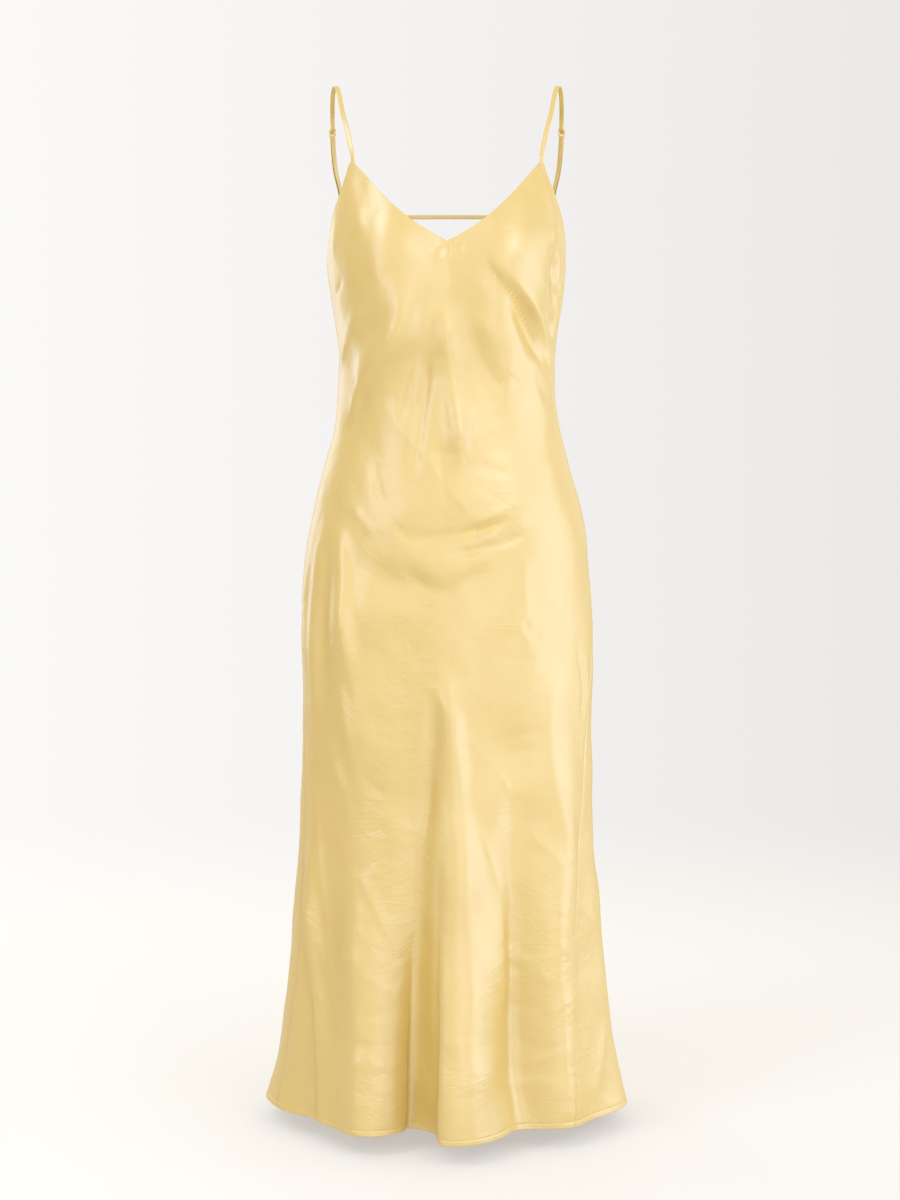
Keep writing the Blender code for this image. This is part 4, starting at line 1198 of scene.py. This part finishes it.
def satin_material(name, colour, roughness, sheen, ior, crumples):
    """Satin, by its cut: fine threads, slubs and clouds on the bias, and small creases."""
    material, tree, shader = new_material(name)
    cut = node(tree, "UVMap", uv_map="cut")
    bias = node(tree, "Mapping", cut, vector_type="TEXTURE", Rotation=(0, 0, -math.pi / 4))

    def noise(place, scale, detail, **more):
        return node(tree, "TexNoise", place, noise_dimensions="2D", Scale=scale, Detail=detail,
                    Roughness=0.5, **more)

    def streaks(across, along, detail):
        """Noise drawn out along the satin's floats; sizes in metres."""
        return noise(node(tree, "Mapping", bias, Scale=(1 / along, 1 / across, 1)), 1.0, detail)

    def drawn_out(crumple, detail):
        turned = (0, 0, math.radians(crumple.turned))
        place = node(tree, "Mapping", cut, vector_type="TEXTURE", Rotation=turned,
                     Scale=(crumple.along, crumple.across, 1))
        return noise(place, 1.0, detail, Distortion=0.2)

    def patches(crumple):
        """Where creases of one run lie: soft patches, more of them towards the hem."""
        patch = noise(cut, PATCHES + crumple.turned / 20, 1.0)
        return node(tree, "Math", ranged(tree, patch, *PATCH_EDGE), lower, operation="MULTIPLY")

    def pressed(crumple):
        """Thin lines, where the noise passes its middle."""
        off = node(tree, "Math", drawn_out(crumple, 1.0), 0.5, operation="SUBTRACT")
        size = node(tree, "Math", off, operation="ABSOLUTE")
        return ranged(tree, size, 0.0, PRESSED_WIDTH, 1.0, 0.0)

    def bumped(under, height, strength, distance):
        """Bump over the one before it, if there is one."""
        under = {"Normal": under} if under else {}
        return node(tree, "Bump", Strength=strength, Distance=distance, Height=height, **under)

    slubs = streaks(*SLUBS)
    mix = node(tree, "Mix", data_type="FLOAT", Factor=SLUB_SHARE, A=streaks(*CLOUDS), B=slubs)
    tone = toned(tree, mix, *[np.multiply(colour, share) for share in TONES])
    rough = ranged(tree, slubs, 0.0, 1.0, roughness - SPREAD, roughness + SPREAD, "LINEAR")
    up = node(tree, "SeparateXYZ", cut).outputs["Y"]
    lower = ranged(tree, up, *CREASED_TO, 1.0, CREASED_ABOVE)
    surface = None
    for crumple in crumples:
        form = pressed(crumple) if crumple.pressed else drawn_out(crumple, 3.0)
        surface = bumped(surface, form, patches(crumple), crumple.depth)
    surface = bumped(surface, slubs, *SLUB_BUMP)
    surface = bumped(surface, streaks(*THREADS), *THREAD_BUMP)
    fill(tree, shader, Base_Color=tone, Roughness=rough, Normal=surface, IOR=ior,
         Sheen_Weight=sheen, Sheen_Roughness=SHEEN_ROUGHNESS, Sheen_Tint=SHEEN_TINT)
    return material


def plain_material(name, colour, roughness, spread, scale, depth):
    """One colour with a fine uneven surface; scale is its grain's, per metre."""
    material, tree, shader = new_material(name)
    place = node(tree, "TexCoord").outputs["Object"]
    grain = node(tree, "TexNoise", place, Scale=scale, Detail=3.0, Roughness=0.6)
    tone = toned(tree, grain, np.multiply(colour, 0.9), np.multiply(colour, 1.08))
    rough = ranged(tree, grain, 0.0, 1.0, roughness - spread, roughness + spread, "LINEAR")
    bump = node(tree, "Bump", Strength=0.3, Distance=depth, Height=grain)
    fill(tree, shader, Base_Color=tone, Roughness=rough, Normal=bump)
    return material


# ---------------------------------------------------------------- camera and light

CAMERA_AT = (0.0035, -2.6, -0.412)
CAMERA_TOWARDS = (0.0035, 0.0, -0.597)
CAMERA_LENS = 66.27
FLOOR_HEIGHT = -1.215
FLOOR_RADIUS = 4.0
FLOOR_FADE = (0.7, 2.4)    # distances from the middle over which the floor fades out
FLOOR_ALPHA = 0.5
FLOOR_COLOUR = (0.80, 0.79, 0.775, 1)

Lamp = namedtuple("Lamp", "name place towards width height power")
LAMPS = (
    Lamp("right", (2.3, -0.15, -0.35), (0, 0, -0.55), 1.3, 1.7, 12.0),
    Lamp("right_front", (1.6, -2.1, 1.0), (0, 0, -0.45), 1.3, 1.0, 14.0),
    Lamp("right_low", (2.0, -1.2, -0.95), (0, 0, -0.9), 1.0, 0.8, 6.0),
    Lamp("right_mid", (2.2, -1.2, 0.2), (0, 0, -0.6), 1.0, 1.4, 4.0),
    Lamp("front", (0.35, -3.1, 0.1), (0, 0, -0.6), 2.2, 1.5, 7.0),
    Lamp("front_low", (0.8, -2.6, -0.9), (0, 0, -0.8), 1.6, 0.9, 4.0),
    Lamp("left", (-1.8, -1.9, 0.05), (0, 0, -0.6), 1.0, 1.2, 8.0),
    Lamp("left_top", (-1.5, -1.3, 1.5), (0, 0, -0.6), 1.0, 1.0, 15.0),
    Lamp("behind", (0.3, 2.9, 0.4), (0, 0, -0.6), 1.6, 1.4, 6.0),
    Lamp("behind_left", (-1.6, 1.9, 0.0), (0, 0, -0.6), 1.0, 1.8, 11.0),
    Lamp("behind_right", (1.7, 1.9, 0.2), (0, 0, -0.6), 0.9, 1.6, 3.0),
    Lamp("behind_right_low", (2.0, 0.9, -1.0), (0, 0, -1.0), 1.0, 0.6, 2.0),
)

LAMP_COLOUR = (0.86, 1.0, 1.26)
AMBIENT_COLOUR = (1.09, 0.99, 0.79, 1)
# Background colour with painted shade: lighter on the left and darker on the right, as light falls
# across a plain backdrop
BACKGROUND = ((0.965, 0.955, 0.94), (0.83, 0.815, 0.80))   # from the left to the right
BACKGROUND_ENDS = (-0.2, 0.2)

# Light from all round: an even part, and parts from one side each.  A side is a direction,
# the cosines to it between which it comes on, and its strength.
EVEN = 0.58
SIDES = (
    ((0, 0, 1), 0.0, 0.8, 0.35),
    ((0, 0, -1), 0.0, 0.6, 0.20),
    ((0, -1, 0), 0.5, 0.9, 0.35),
    ((0, 1, 0), -0.8, 1.1, 0.10),
)


def put(name, data, place, target):
    """New camera or lamp at a place, looking at a target."""
    item = bpy.data.objects.new(name, data)
    item.location = place
    item.rotation_euler = (Vector(target) - item.location).to_track_quat("-Z", "Y").to_euler()
    bpy.context.scene.collection.objects.link(item)
    return item


def add_camera():
    camera = bpy.data.cameras.new("camera")
    camera.lens = CAMERA_LENS
    camera.sensor_width = 36
    bpy.context.scene.camera = put("camera", camera, CAMERA_AT, CAMERA_TOWARDS)


def add_lamps():
    for lamp in LAMPS:
        light = bpy.data.lights.new(lamp.name, "AREA")
        light.shape = "RECTANGLE"
        light.size, light.size_y = lamp.width, lamp.height
        light.energy = lamp.power
        light.color = LAMP_COLOUR
        put(lamp.name, light, lamp.place, lamp.towards)


def add_world():
    """Light from all round, and a pale background that only the camera sees, with painted shade
    towards the right.
    """
    world = bpy.data.worlds.new("studio")
    bpy.context.scene.world = world
    world.use_nodes = True
    tree = world.node_tree
    tree.nodes.clear()
    way = node(tree, "TexCoord").outputs["Generated"]
    aside = node(tree, "SeparateXYZ", way).outputs["X"]
    # painted shade over the background: lighter on the left, darker on the right
    share = ranged(tree, aside, *BACKGROUND_ENDS, kind="LINEAR")
    seen = node(tree, "Background", toned(tree, share, *BACKGROUND, ends=(0, 1)))
    total = EVEN
    for direction, low, high, strength in SIDES:
        facing = node(tree, "VectorMath", way, direction, operation="DOT_PRODUCT")
        part = ranged(tree, facing.outputs["Value"], low, high, 0.0, strength)
        total = node(tree, "Math", part, total, operation="ADD")
    ambient = node(tree, "Background", AMBIENT_COLOUR, total)
    by_camera = node(tree, "LightPath").outputs["Is Camera Ray"]
    node(tree, "OutputWorld", node(tree, "MixShader", by_camera, ambient, seen))


def add_floor():
    """Pale floor, which fades out before its edge."""
    shell = bmesh.new()
    bmesh.ops.create_circle(shell, cap_ends=True, segments=96, radius=FLOOR_RADIUS)
    mesh = bpy.data.meshes.new("floor")
    shell.to_mesh(mesh)
    shell.free()
    material, tree, shader = new_material("floor")
    place = node(tree, "TexCoord").outputs["Object"]
    length = node(tree, "VectorMath", place, operation="LENGTH").outputs["Value"]
    fill(tree, shader, Base_Color=FLOOR_COLOUR, Roughness=0.8,
         Alpha=ranged(tree, length, *FLOOR_FADE, FLOOR_ALPHA, 0.0))
    floor = new_object("floor", mesh, material)
    floor.location = (0, 0, FLOOR_HEIGHT)


# ---------------------------------------------------------------- the dress

SATIN = (0.59, 0.42, 0.115)
SATIN_INSIDE = (0.72, 0.53, 0.18)
SATIN_LOOK = (0.40, 0.0, 2.3)      # roughness, sheen and index of refraction
INSIDE_LOOK = (0.6, 0.2, 1.4)
THREAD_COLOUR = (0.74, 0.55, 0.16)
COATING = (0.74, 0.54, 0.16)


def main():
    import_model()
    bpy.context.scene.view_settings.view_transform = "Standard"
    add_camera()
    satin = satin_material("satin", SATIN, *SATIN_LOOK, CRUMPLES)
    satin_back = satin_material("satin_inside", SATIN_INSIDE, *INSIDE_LOOK, CRUMPLES)
    rouleau = satin_material("satin_rouleau", SATIN, *SATIN_LOOK, ())
    thread = plain_material("thread", THREAD_COLOUR, 0.5, 0.1, 4000, 0.03 * MM)
    metal = plain_material("coated_metal", COATING, 0.28, 0.05, 1500, 0.01 * MM)
    hem_runs = []
    for panel in PANELS:
        face, inside, runs = build_panel(panel, satin, satin_back)
        hem_runs += runs
        for piece in (face, inside):
            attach(piece, "root")
        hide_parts(f"{panel.name}_panel")
    hem_thread = stitches("hem_stitches", hem_runs, thread)
    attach(hem_thread, "root")
    add_straps(rouleau, metal, thread)
    add_world()
    add_lamps()
    add_floor()


main()
